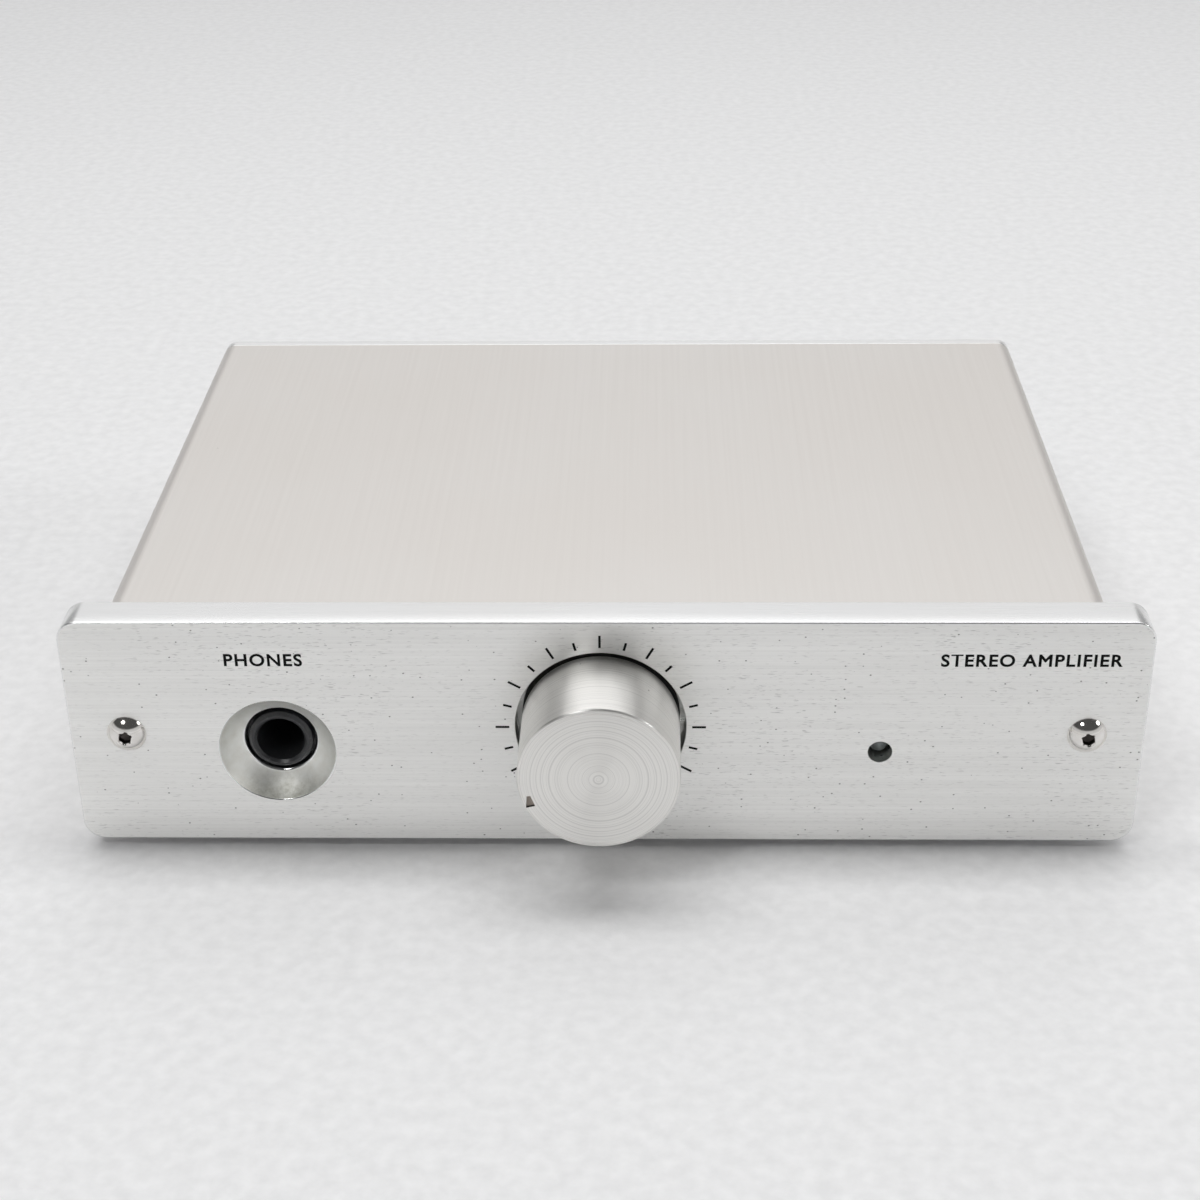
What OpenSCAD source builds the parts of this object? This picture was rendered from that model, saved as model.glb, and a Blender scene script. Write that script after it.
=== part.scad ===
// Compact headphone amplifier: brushed front plate, two-part extruded case and one circuit board.
// Millimetres, +Z up, the front faces -Y. Origin: centre of the footprint, on the surface that it stands on.

/* [Front plate] */
// Width of the front plate
plate_w = 152; // [150:0.5:154]
// Height of the front plate
plate_h = 36.2; // [35.8:0.2:36.8]
// Thickness of the front plate
plate_t = 6; // [6:0.25:7]
// Radius of the plate's four corners
plate_corner_r = 3; // [1:0.5:5]
// Height of the plate's lower edge above the floor
plate_lift = 1.6; // [1:0.1:2.4]

/* [Case] */
// Width of the case behind the plate
case_w = 142.4; // [141:0.2:143]
// Height of the case
case_h = 32; // [31.6:0.1:32.4]
// Length of the two shells, front to back
case_d = 100; // [98:1:106]
// Wall thickness of the shells
wall = 2; // [1.8:0.1:2.2]
// Radius along the long edges of the case
case_corner_r = 2.5; // [2:0.25:3]
// Thickness of the rear panel
rear_t = 2; // [1.5:0.25:2.5]

/* [Volume control] */
// Sideways place of the knob
knob_x = -0.5; // [-2:0.5:2]
// Height of the knob's axis above the plate's mid-height
knob_z = 1.2; // [0.8:0.2:1.6]
// Diameter of the knob
knob_dia = 22.4; // [21:0.2:22.6]
// How far the knob stands out of the plate
knob_out = 13.4; // [11:0.2:16]
// Diameter of the cut-out round the knob
knob_hole_dia = 24.1; // [23.6:0.1:25]
// Where the pointer stands, in degrees anticlockwise from the top
pointer_angle = 110.5; // [0:0.5:150]

/* [Headphone socket] */
// Sideways place of the socket
jack_x = -46.6; // [-48:0.2:-44]
// Height of the socket's axis above the plate's mid-height
jack_z = -2.9; // [-3.1:0.1:-2.7]
// Diameter of the dish at the plate's face
dish_dia = 16.6; // [16:0.1:17.2]
// Depth of the dish
dish_depth = 3.1; // [2.9:0.1:3.3]
// Diameter of the hole for a plug
plug_hole_dia = 6.9; // [6.6:0.1:7]

/* [Lamp and screws] */
// Sideways place of the power lamp
lamp_x = 39; // [36:0.5:42]
// Diameter of the lamp's hole
lamp_hole_dia = 3.4; // [3.3:0.1:3.8]
// Sideways distance of the two plate screws from the middle
screw_x = 67.9; // [67.7:0.1:68.1]

/* [Rear] */
// Sideways place of the left phono input
input_left_x = -52; // [-54:1:-50]
// Sideways place of the right phono input
input_right_x = -34; // [-36:1:-32]
// Sideways place of the power switch
switch_x = 12; // [10:1:14]
// Sideways place of the power inlet
inlet_x = 46; // [44:1:48]
// Tilt of the switch lever each side of level
lever_tilt = 10; // [6:1:10]

/* [Hidden] */
$fn = 96;
eps = 0.05;

// Heights
mid_z = plate_lift + plate_h / 2;
case_bottom = mid_z - case_h / 2;
case_top = mid_z + case_h / 2;
axis_z = mid_z + knob_z;
socket_z = mid_z + jack_z;

// Places along Y, counted from the plate's front face
shell_y = plate_t;
rear_y = plate_t + case_d;
outer_y = rear_y + rear_t;

// The switch sets how far back the object reaches
bushing_out = 5;
lever_out = 14;
lever_ball_r = 2.25;
lever_r = 1;
lever_tip_r = 1.5;
pivot_y = outer_y - 1;
lever_len = lever_out + outer_y - pivot_y - lever_tip_r;
back_y = pivot_y + lever_len * cos(lever_tilt) + lever_tip_r;
front_y = -(back_y - knob_out) / 2;

// Case joints and screw bosses
seam_z = mid_z + 4.5;
lap = 1.6;
boss_h = 7;
boss_in = 3.4;

// Screws: M3 with a low round head and a 2 mm hexagon socket
thread_r = 1.5;
head_r = 2.83;
head_h = 1.65;
hexagon_af = 2;
plate_screw_len = 14;
rear_screw_len = 9;

// Board: slides in the base's side slots
board_t = 1.6;
board_z = socket_z - 6.9;
board_w = 2 * (case_w / 2 - wall) - 0.8;
board_front = shell_y + 1;
board_d = case_d - 3;
rib_t = 1.2;
rib_w = 2.4;

// Volume control
pocket_depth = 4.5;
knob_r = knob_dia / 2;
knob_back = 3.9;
knob_chamfer = 0.45;
set_screw_y = knob_back - 9.2;
shaft_r = 3;
running_gap = 0.05;
collar_r = 3.5;
collar_end = 1.2;
pot_w = 21;
pot_d = 19;
washer_t = 0.5;
nut_t = 2;

// Headphone socket
dish_r = dish_dia / 2;
nose_r = 4.58;
nose_hole_r = 5.02;
jack_w = 15.4;
jack_depth = 27;
contact_slot = 2.1;

// Lamp
lamp_r = 1.5;
lamp_flange_r = 1.9;
lamp_len = 5.6;

// Phono inputs
input_x = [input_left_x, input_right_x];
phono_r = 4.15;
phono_len = 8;
phono_wall = 0.7;
phono_flange_r = 5.8;
phono_flange_t = 1.6;
phono_thread_r = 3.9;
phono_tail = 6;
phono_contact_r = 2;

// Power inlet
inlet_hole_r = 2.85;
inlet_body_r = 4.4;
inlet_flange_r = 6.2;
inlet_flange_t = 1.6;
inlet_tail = 10;

// Power switch
bushing_r = 3;
bushing_hole_r = lever_ball_r + running_gap;
cross_pin_r = 0.6;
switch_w = 8;
switch_h = 12.7;
switch_d = 9.5;

// Leads inside the case, and the row of heatsinks
wire_r = 0.65;
bend_r = 2.2;
heatsink_x = [-50, -20, 10, 40];

// ---- helpers ----

// Puts what is drawn from the plate's front face into the object's own frame
module placed() {
    translate([0, front_y, 0]) children();
}

// Stands something drawn along +Z along +Y instead, with its start at (x, y, z)
module along_y(x, y, z) {
    translate([x, y, z]) rotate([-90, 0, 0]) children();
}

module rounded_rect(w, h, r) {
    for (sx = [-1, 1], sz = [-1, 1]) {
        translate([sx * (w / 2 - r), sz * (h / 2 - r)]) circle(r);
    }
    square([w - 2 * r, h], center = true);
    square([w, h - 2 * r], center = true);
}

// A flat slab across Y, drawn from its outline in X and Z
module slab(y, thickness, z) {
    along_y(0, y, z) linear_extrude(thickness) mirror([0, 1]) children();
}

module tube(outer_r, inner_r, length) {
    difference() {
        cylinder(r = outer_r, h = length);
        translate([0, 0, -1]) cylinder(r = inner_r, h = length + 2);
    }
}

// A hexagon of the given size across its flats
module hexagon_bar(across_flats, length) {
    cylinder(r = across_flats / sqrt(3), h = length, $fn = 6);
}

module hexagon_nut(across_flats, hole_r, thickness) {
    difference() {
        hexagon_bar(across_flats, thickness);
        translate([0, 0, -1]) cylinder(r = hole_r, h = thickness + 2);
    }
}

// Low round head on the -Z side of the origin, threaded shank on the +Z side
module button_screw(length) {
    dome_r = (head_r * head_r + head_h * head_h) / (2 * head_h);
    difference() {
        union() {
            intersection() {
                translate([0, 0, dome_r - head_h]) sphere(dome_r);
                translate([0, 0, -head_h]) cylinder(r = head_r - 0.02, h = head_h);
            }
            cylinder(r = thread_r, h = length);
        }
        translate([0, 0, -head_h - 1]) hexagon_bar(hexagon_af, 2.1);
    }
}

// A lead that runs forward from a rear socket, bends down and ends on the board
module lead_to_board(x, y, z, forward) {
    translate([x, y - forward, z]) rotate([-90, 0, 0]) cylinder(r = wire_r, h = forward);
    translate([x, y - forward, z - bend_r]) mirror([0, 1, 0]) rotate([0, -90, 0]) rotate_extrude(angle = 90)
        translate([bend_r, 0]) circle(wire_r);
    translate([x, y - forward - bend_r, board_z]) cylinder(r = wire_r, h = z - bend_r - board_z);
}

// ---- case ----

module case_outline() {
    rounded_rect(case_w, case_h, case_corner_r);
}

module case_hollow() {
    rounded_rect(case_w - 2 * wall, case_h - 2 * wall, case_corner_r - wall / 2);
}

module front_plate() {
    dish_rim_r = 5.41;
    sphere_in = (dish_r * dish_r - dish_rim_r * dish_rim_r - dish_depth * dish_depth) / (2 * dish_depth);
    color([0.8, 0.8, 0.79]) placed() difference() {
        slab(0, plate_t, mid_z) rounded_rect(plate_w, plate_h, plate_corner_r);
        along_y(knob_x, -1, axis_z) cylinder(d = knob_hole_dia, h = pocket_depth + 1);
        along_y(knob_x, -1, axis_z) cylinder(r = collar_r + 0.1, h = plate_t + 2);
        translate([jack_x, -sphere_in, socket_z]) sphere(sqrt(dish_r * dish_r + sphere_in * sphere_in));
        along_y(jack_x, -1, socket_z) cylinder(r = nose_hole_r, h = plate_t + 2);
        along_y(lamp_x, -1, socket_z) cylinder(d = lamp_hole_dia, h = plate_t + 2);
        for (side = [-1, 1]) {
            along_y(side * screw_x, -1, mid_z) cylinder(r = thread_r + 0.1, h = plate_t + 2);
        }
    }
}

module plate_screws() {
    color([0.82, 0.82, 0.84]) placed() for (side = [-1, 1]) {
        along_y(side * screw_x, 0, mid_z) button_screw(plate_screw_len);
    }
}

module top_shell() {
    seam = seam_z - mid_z;
    color([0.85, 0.835, 0.815]) placed() slab(shell_y, case_d, mid_z) {
        intersection() {
            difference() {
                case_outline();
                case_hollow();
            }
            translate([-case_w, seam]) square([2 * case_w, case_h]);
        }
        // Tongue on the outer half of each wall, which laps down over the base
        for (side = [-1, 1]) {
            translate([side * (case_w / 2 - wall / 4) - wall / 4, seam - lap]) square([wall / 2, lap + eps]);
        }
    }
}

module base_section() {
    seam = seam_z - mid_z;
    lower_rib = board_z - board_t - eps - rib_t - mid_z;
    upper_rib = board_z + eps - mid_z;
    inner_x = case_w / 2 - wall;
    difference() {
        union() {
            intersection() {
                difference() {
                    case_outline();
                    case_hollow();
                }
                translate([-case_w, -case_h]) square([2 * case_w, case_h + seam - eps]);
            }
            for (side = [-1, 1]) {
                translate([side * (inner_x - boss_in / 2 + eps), 0])
                    square([boss_in + 2 * eps, boss_h], center = true);
                for (z = [lower_rib, upper_rib]) {
                    translate([side * (inner_x - rib_w / 2 + eps) - rib_w / 2 - eps, z])
                        square([rib_w + 2 * eps, rib_t]);
                }
            }
        }
        for (side = [-1, 1]) {
            translate([side * (case_w / 2 - wall / 4) - wall / 4 - eps, seam - lap - eps])
                square([wall / 2 + 2 * eps, lap + 1]);
            translate([side * screw_x, 0]) circle(thread_r + eps);
        }
    }
}

module base_shell() {
    color([0.83, 0.815, 0.795]) placed() slab(shell_y, case_d, mid_z) base_section();
}

module rear_panel() {
    color([0.8, 0.8, 0.79]) placed() difference() {
        slab(rear_y, rear_t, mid_z) case_outline();
        for (side = [-1, 1]) {
            along_y(side * screw_x, rear_y - 1, mid_z) cylinder(r = thread_r + 0.1, h = rear_t + 2);
        }
        for (x = input_x) {
            along_y(x, rear_y - 1, mid_z) cylinder(r = phono_thread_r + 0.1, h = rear_t + 2);
        }
        along_y(switch_x, rear_y - 1, mid_z) cylinder(r = 3.1, h = rear_t + 2);
        along_y(inlet_x, rear_y - 1, mid_z) cylinder(r = inlet_body_r + 0.1, h = rear_t + 2);
    }
}

module rear_screws() {
    color([0.82, 0.82, 0.84]) placed() for (side = [-1, 1]) {
        translate([side * screw_x, outer_y, mid_z]) rotate([90, 0, 0]) button_screw(rear_screw_len);
    }
}

module feet() {
    foot_r = 6.2;
    groove_r = 5.4;
    color([0.08, 0.08, 0.08]) placed() for (x = [-56, 56], y = [16, rear_y - 12]) {
        translate([x, y, 0]) {
            cylinder(r1 = foot_r - 0.8, r2 = foot_r, h = 0.8);
            translate([0, 0, 0.8]) cylinder(r = foot_r, h = case_bottom - 1.4);
            translate([0, 0, case_bottom - 0.6]) cylinder(r = groove_r, h = 0.6);
        }
    }
}

// ---- volume control ----

module knob_profile() {
    // Section through the knob: radius across, distance along its axis from the back end up
    length = knob_out + knob_back;
    hollow_r = 7.4;
    hollow_depth = 4.2;
    bore_depth = 13;
    polygon([
        [shaft_r + 0.02, hollow_depth], [hollow_r, hollow_depth], [hollow_r, 0], [knob_r - 0.3, 0], [knob_r, 0.3],
        [knob_r, length - knob_chamfer], [knob_r - knob_chamfer, length], [0, length], [0, bore_depth],
        [shaft_r + 0.02, bore_depth]
    ]);
}

// The small pointer is a wedge-shaped pocket beside the rim, drawn here for a pointer that stands at the top
module pointer_outline() {
    inner = knob_r - 1.52;
    polygon([[0.88, inner + 0.28], [0.71, inner], [-0.97, inner], [-0.83, inner + 1.28]]);
}

module volume_knob() {
    pointer_depth = 0.5;
    color([0.79, 0.79, 0.78]) placed() difference() {
        along_y(knob_x, knob_back, axis_z) rotate([180, 0, 0]) rotate_extrude() knob_profile();
        translate([knob_x, -knob_out + pointer_depth, axis_z]) rotate([90, 0, 0]) linear_extrude(2)
            rotate(pointer_angle) pointer_outline();
        translate([knob_x, set_screw_y, axis_z - knob_r - 1]) cylinder(r = thread_r + 0.02, h = knob_r);
    }
}

module knob_set_screw() {
    length = 6;
    color([0.15, 0.15, 0.16]) placed() translate([knob_x, set_screw_y, axis_z - shaft_r - length])
        difference() {
            cylinder(r = thread_r, h = length + 0.3);
            translate([0, 0, -1]) hexagon_bar(1.5, 2.5);
        }
}

module pot_shaft() {
    tip_y = pocket_depth - 12.4;
    tail_y = plate_t + pot_d - 4;
    flat_depth = 0.35;
    color([0.75, 0.75, 0.76]) placed() difference() {
        union() {
            along_y(knob_x, tip_y, axis_z) cylinder(r = shaft_r, h = tail_y - tip_y);
            along_y(knob_x, plate_t + 4, axis_z) cylinder(r = 7.6, h = 1.5);
            along_y(knob_x, plate_t + 11, axis_z) cylinder(r = 7.6, h = 1.5);
        }
        translate([knob_x - shaft_r, tip_y - 1, axis_z - shaft_r - 1]) cube([2 * shaft_r, 9, 1 + flat_depth]);
    }
}

module pot_bushing() {
    start = collar_end;
    color([0.72, 0.6, 0.35]) placed() along_y(knob_x, start, axis_z)
        tube(collar_r, shaft_r + running_gap, plate_t - start);
}

module pot_washer() {
    color([0.75, 0.75, 0.76]) placed() along_y(knob_x, pocket_depth - washer_t, axis_z)
        tube(6.2, collar_r + 0.1, washer_t);
}

module pot_nut() {
    color([0.75, 0.75, 0.76]) placed() along_y(knob_x, pocket_depth - washer_t - nut_t, axis_z)
        hexagon_nut(10, collar_r + 0.05, nut_t);
}

module pot_body() {
    lid = 1.5;
    drum_r = 8;
    color([0.25, 0.33, 0.45]) placed() difference() {
        translate([knob_x - pot_w / 2, plate_t, axis_z - pot_w / 2]) cube([pot_w, pot_d, pot_w]);
        along_y(knob_x, plate_t - 1, axis_z) cylinder(r = shaft_r + running_gap, h = pot_d - 2);
        for (y = [plate_t + lid + 2, plate_t + lid + 9]) {
            along_y(knob_x, y, axis_z) cylinder(r = drum_r, h = 2.5);
        }
    }
}

module pot_pins() {
    color([0.8, 0.8, 0.78]) placed() for (row = [6, 13], pin = [-1:1]) {
        translate([knob_x + pin * 5 - 0.4, plate_t + row, board_z]) cube([0.8, 0.8, axis_z - pot_w / 2 - board_z]);
    }
}

// ---- headphone socket ----

module jack_housing() {
    nose_y = 2.75;
    edge = 0.45;
    lip = 0.35;
    hole_r = plug_hole_dia / 2;
    bore_end = plate_t + jack_depth - 1.5;
    color([0.09, 0.09, 0.1]) placed() difference() {
        union() {
            along_y(jack_x, nose_y, socket_z) rotate_extrude() polygon([
                [0, 0], [nose_r - edge, 0], [nose_r, edge], [nose_r, plate_t + 1 - nose_y], [0, plate_t + 1 - nose_y]
            ]);
            translate([jack_x - jack_w / 2, plate_t, board_z])
                cube([jack_w, jack_depth, 2 * (socket_z - board_z) - 0.4]);
        }
        along_y(jack_x, nose_y - 1, socket_z) cylinder(r = hole_r, h = bore_end - nose_y + 1);
        along_y(jack_x, nose_y, socket_z) cylinder(r1 = hole_r + lip, r2 = hole_r, h = lip);
        // Slots that the springs look through, one on each side
        for (side = [-1, 1], y = [plate_t + 8, plate_t + 16]) {
            translate([jack_x + side * (hole_r + 2.2), y + 2.5, socket_z])
                cube([5, 5, contact_slot], center = true);
        }
    }
}

module jack_contacts() {
    hole_r = plug_hole_dia / 2;
    blade = 0.4;
    color([0.78, 0.74, 0.6]) placed() for (side = [-1, 1], y = [plate_t + 8, plate_t + 16]) {
        translate([jack_x + side * (hole_r + 0.4 + blade / 2), y + 2.5, socket_z])
            cube([blade, 4.4, contact_slot - 0.4], center = true);
        translate([jack_x + side * (hole_r + 2.4), y + 2.5, socket_z])
            cube([3.8, blade, contact_slot - 0.4], center = true);
    }
}

// ---- power lamp ----

module led_lens() {
    tip_y = plate_t + 1.2 - lamp_len;
    color([0.35, 0.4, 0.4]) placed() {
        translate([lamp_x, tip_y + lamp_r, socket_z]) sphere(lamp_r);
        along_y(lamp_x, tip_y + lamp_r, socket_z) cylinder(r = lamp_r, h = lamp_len - lamp_r);
        along_y(lamp_x, plate_t + 0.2, socket_z) cylinder(r = lamp_flange_r, h = 1);
    }
}

module led_leads() {
    leg = 0.5;
    back = plate_t + 1.2;
    color([0.8, 0.8, 0.78]) placed() for (side = [-1, 1]) {
        translate([lamp_x + side * 1.27 - leg / 2, back, socket_z - leg / 2]) cube([leg, 6, leg]);
        translate([lamp_x + side * 1.27 - leg / 2, back + 6 - leg, board_z]) cube([leg, leg, socket_z - board_z]);
    }
}

module led_holder() {
    color([0.1, 0.1, 0.1]) placed() difference() {
        translate([lamp_x - 2.6, plate_t + 1.3, board_z]) cube([5.2, 5, socket_z + 2 - board_z]);
        for (side = [-1, 1]) {
            along_y(lamp_x + side * 1.27, plate_t + 1, socket_z) cylinder(r = 0.5, h = 6);
        }
    }
}

// ---- board and what stands on it ----

module circuit_board() {
    color([0.08, 0.3, 0.16]) placed()
        translate([-board_w / 2, board_front, board_z - board_t]) cube([board_w, board_d, board_t]);
}

module capacitors() {
    can_r = 6.25;
    can_h = 20;
    color([0.12, 0.12, 0.14]) placed() for (i = [0:3]) {
        translate([4 + i * 17, 81, board_z]) {
            cylinder(r = can_r - 0.3, h = 1.2);
            translate([0, 0, 1.2]) cylinder(r = can_r, h = can_h - 1.2);
        }
    }
}

module film_capacitors() {
    color([0.7, 0.16, 0.14]) placed() for (x = [-56, -43, -30, -17]) {
        translate([x - 5, 77, board_z]) cube([10, 5, 9]);
    }
}

module resistors() {
    body_r = 1.2;
    body_len = 6.4;
    color([0.35, 0.5, 0.62]) placed() for (side = [-1, 1], i = [0:6]) {
        translate([side * (12 + i * 7.5), 54, board_z + body_r]) rotate([-90, 0, 0])
            cylinder(r = body_r, h = body_len);
    }
}

module small_transistors() {
    lead_h = 2.6;
    color([0.07, 0.07, 0.07]) placed() for (side = [-1, 1], i = [0:4], y = [41, 48]) {
        translate([side * (14 + i * 10), y, board_z]) {
            translate([0, 0, lead_h]) intersection() {
                cylinder(r = 2.3, h = 4.6);
                translate([-3, -1.5, 0]) cube([6, 4, 4.6]);
            }
            for (pin = [-1:1]) {
                translate([pin * 1.27 - 0.22, -0.22, 0]) cube([0.44, 0.44, lead_h + eps]);
            }
        }
    }
}

module heatsinks() {
    fin_t = 1.2;
    color([0.1, 0.1, 0.11]) placed() for (x = heatsink_x) {
        translate([x - 8, 68, board_z]) {
            cube([16, 2, 19]);
            for (i = [0:4]) {
                translate([i * (16 - fin_t) / 4, 2 - eps, 0]) cube([fin_t, 4 + eps, 19]);
            }
        }
    }
}

module output_transistors() {
    color([0.08, 0.08, 0.08]) placed() for (x = heatsink_x) {
        translate([x - 5, 64.6, board_z + 4]) cube([10, 3.4, 14]);
        for (pin = [-1:1]) {
            translate([x + pin * 2.54 - 0.4, 65.4, board_z]) cube([0.8, 0.6, 4 + eps]);
        }
    }
}

module regulators() {
    color([0.08, 0.08, 0.08]) placed() for (x = [29, 58]) {
        translate([x - 5, 94, board_z + 4]) cube([10, 4.4, 14]);
        for (pin = [-1:1]) {
            translate([x + pin * 2.54 - 0.4, 96, board_z]) cube([0.8, 0.6, 4 + eps]);
        }
    }
}

// ---- phono inputs ----

module input_shells() {
    flange_y = outer_y;
    color([0.83, 0.68, 0.36]) placed() for (x = input_x) {
        along_y(x, flange_y, mid_z) difference() {
            union() {
                cylinder(r = phono_flange_r, h = phono_flange_t);
                cylinder(r = phono_r, h = phono_flange_t + phono_len);
                translate([0, 0, -rear_t - phono_tail]) cylinder(r = phono_thread_r, h = rear_t + phono_tail + eps);
            }
            translate([0, 0, -rear_t - phono_tail - 1])
                cylinder(r = phono_r - phono_wall, h = phono_flange_t + phono_len + rear_t + phono_tail + 2);
        }
    }
}

module input_ring(x) {
    recess = 0.4;
    back = rear_t + phono_tail;
    along_y(x, outer_y - back, mid_z)
        tube(phono_r - phono_wall - eps, phono_contact_r + eps, back + phono_flange_t + phono_len - recess);
}

module input_ring_left() {
    color([0.92, 0.92, 0.9]) placed() input_ring(input_x[0]);
}

module input_ring_right() {
    color([0.72, 0.08, 0.07]) placed() input_ring(input_x[1]);
}

module input_contacts() {
    pin_hole_r = 1.6;
    color([0.83, 0.68, 0.36]) placed() for (x = input_x) {
        along_y(x, rear_y - phono_tail - 3, mid_z) difference() {
            cylinder(r = phono_contact_r, h = rear_t + phono_tail + phono_flange_t + phono_len + 2);
            translate([0, 0, 4]) cylinder(r = pin_hole_r, h = 40);
        }
    }
}

module input_nuts() {
    color([0.8, 0.66, 0.36]) placed() for (x = input_x) {
        along_y(x, rear_y - 2.4, mid_z) hexagon_nut(11, phono_thread_r + eps, 2.4);
    }
}

// ---- power inlet ----

module dc_inlet() {
    total = inlet_flange_t + rear_t + inlet_tail;
    color([0.07, 0.07, 0.07]) placed() along_y(inlet_x, rear_y - inlet_tail, mid_z) difference() {
        union() {
            cylinder(r = inlet_body_r, h = total);
            translate([0, 0, total - inlet_flange_t]) cylinder(r = inlet_flange_r, h = inlet_flange_t);
        }
        translate([0, 0, 3]) cylinder(r = inlet_hole_r, h = total);
        translate([0, 0, -1]) cylinder(r = 1.15, h = total);
    }
}

module dc_inlet_pin() {
    color([0.85, 0.83, 0.78]) placed() along_y(inlet_x, rear_y - inlet_tail - 2, mid_z)
        cylinder(r = 1.05, h = inlet_tail + rear_t + inlet_flange_t + 1);
}

module dc_inlet_nut() {
    color([0.75, 0.75, 0.76]) placed() along_y(inlet_x, rear_y - 2.2, mid_z)
        hexagon_nut(12, inlet_body_r + eps, 2.2);
}

// ---- power switch ----

module switch_body() {
    cavity_r = 2.9;
    cavity_d = 4.5;
    lug = 0.8;
    color([0.12, 0.2, 0.42]) placed() {
        difference() {
            translate([switch_x - switch_w / 2, rear_y - switch_d, mid_z - switch_h / 2])
                cube([switch_w, switch_d, switch_h]);
            along_y(switch_x, rear_y - cavity_d, mid_z) cylinder(r = cavity_r, h = cavity_d + 1);
        }
        for (z = [-4, 0, 4]) {
            translate([switch_x - 1, rear_y - switch_d - 3.5, mid_z + z - lug / 2]) cube([2, 3.5 + eps, lug]);
        }
    }
}

module switch_bushing() {
    color([0.8, 0.8, 0.8]) placed() difference() {
        along_y(switch_x, rear_y, mid_z) tube(bushing_r, bushing_hole_r, rear_t + bushing_out);
        translate([switch_x, pivot_y, mid_z]) rotate([0, 90, 0])
            cylinder(r = cross_pin_r + running_gap, h = 3 * bushing_r, center = true);
    }
}

module switch_nut() {
    color([0.8, 0.8, 0.8]) placed() {
        along_y(switch_x, outer_y, mid_z) hexagon_nut(8, bushing_r + eps, 2);
    }
}

module switch_lever() {
    tail = 3.2;
    color([0.85, 0.85, 0.86]) placed() translate([switch_x, pivot_y, mid_z]) rotate([-90 - lever_tilt, 0, 0]) {
        sphere(lever_ball_r);
        rotate([0, 90, 0]) cylinder(r = cross_pin_r, h = 2 * bushing_r - 0.3, center = true);
        translate([0, 0, -tail]) cylinder(r = 0.8, h = tail);
        cylinder(r = lever_r, h = bushing_out + 1);
        translate([0, 0, bushing_out + 1]) cylinder(r1 = lever_r, r2 = lever_tip_r, h = lever_len - bushing_out - 1);
        translate([0, 0, lever_len]) sphere(lever_tip_r);
    }
}

// ---- leads inside the case ----

module input_wires() {
    color([0.85, 0.85, 0.82]) placed() for (x = input_x) {
        lead_to_board(x, rear_y - phono_tail - 3, mid_z, 3);
    }
}

module power_wires() {
    color([0.65, 0.1, 0.08]) placed() {
        lead_to_board(inlet_x, rear_y - inlet_tail - 2, mid_z, 1);
        lead_to_board(switch_x, rear_y - switch_d - 3.5, mid_z, 0.5);
    }
}

front_plate();
plate_screws();
top_shell();
base_shell();
rear_panel();
rear_screws();
feet();
volume_knob();
knob_set_screw();
pot_shaft();
pot_bushing();
pot_washer();
pot_nut();
pot_body();
pot_pins();
jack_housing();
jack_contacts();
led_lens();
led_leads();
led_holder();
circuit_board();
capacitors();
film_capacitors();
resistors();
small_transistors();
output_transistors();
heatsinks();
regulators();
input_shells();
input_ring_left();
input_ring_right();
input_contacts();
input_nuts();
dc_inlet();
dc_inlet_pin();
dc_inlet_nut();
switch_body();
switch_bushing();
switch_nut();
switch_lever();
input_wires();
power_wires();
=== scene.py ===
import math

import bmesh
import bpy
from mathutils import Matrix, Vector


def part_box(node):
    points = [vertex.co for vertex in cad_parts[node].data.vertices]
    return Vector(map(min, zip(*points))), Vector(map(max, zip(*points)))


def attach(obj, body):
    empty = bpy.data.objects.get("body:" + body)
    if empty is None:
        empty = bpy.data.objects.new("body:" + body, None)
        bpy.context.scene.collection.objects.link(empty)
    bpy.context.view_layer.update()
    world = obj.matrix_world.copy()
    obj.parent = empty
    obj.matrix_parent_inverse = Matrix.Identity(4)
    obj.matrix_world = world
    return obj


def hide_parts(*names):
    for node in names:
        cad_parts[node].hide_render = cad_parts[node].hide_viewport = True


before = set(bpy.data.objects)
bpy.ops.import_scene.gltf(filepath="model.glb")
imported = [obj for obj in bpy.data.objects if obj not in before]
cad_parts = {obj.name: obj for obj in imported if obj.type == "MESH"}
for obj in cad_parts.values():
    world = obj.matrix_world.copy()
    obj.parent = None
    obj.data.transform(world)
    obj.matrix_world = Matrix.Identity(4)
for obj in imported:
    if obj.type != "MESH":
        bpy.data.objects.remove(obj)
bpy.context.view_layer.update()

# Every length below is in metres; MM turns a size in millimetres into metres.
MM = 0.001

# ---- places, read from the frame ----

plate_low, plate_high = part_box("front_plate")
PLATE_FACE = plate_low[1]
PLATE_BACK = plate_high[1]
PLATE_T = PLATE_BACK - PLATE_FACE
PLATE_W = plate_high[0] - plate_low[0]
PLATE_H = plate_high[2] - plate_low[2]
MID_Z = (plate_low[2] + plate_high[2]) / 2

panel_low, panel_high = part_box("rear_panel")
PANEL_IN = panel_low[1]
PANEL_OUT = panel_high[1]
CASE_W = panel_high[0] - panel_low[0]
CASE_H = panel_high[2] - panel_low[2]

knob_low, knob_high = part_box("volume_knob")
KNOB_X = (knob_low[0] + knob_high[0]) / 2
KNOB_Z = (knob_low[2] + knob_high[2]) / 2
KNOB_R = (knob_high[0] - knob_low[0]) / 2
KNOB_FRONT = knob_low[1]
KNOB_BACK = knob_high[1]

jack_low, jack_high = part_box("jack_housing")
JACK_X = (jack_low[0] + jack_high[0]) / 2
JACK_Z = MID_Z - 2.9 * MM

lamp_low, lamp_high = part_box("led_lens")
LAMP_X = (lamp_low[0] + lamp_high[0]) / 2
LAMP_Z = (lamp_low[2] + lamp_high[2]) / 2

shell_low, shell_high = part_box("input_shells")
INPUT_FLANGE_R = 5.8 * MM
INPUT_X = (shell_low[0] + INPUT_FLANGE_R, shell_high[0] - INPUT_FLANGE_R)

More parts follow.
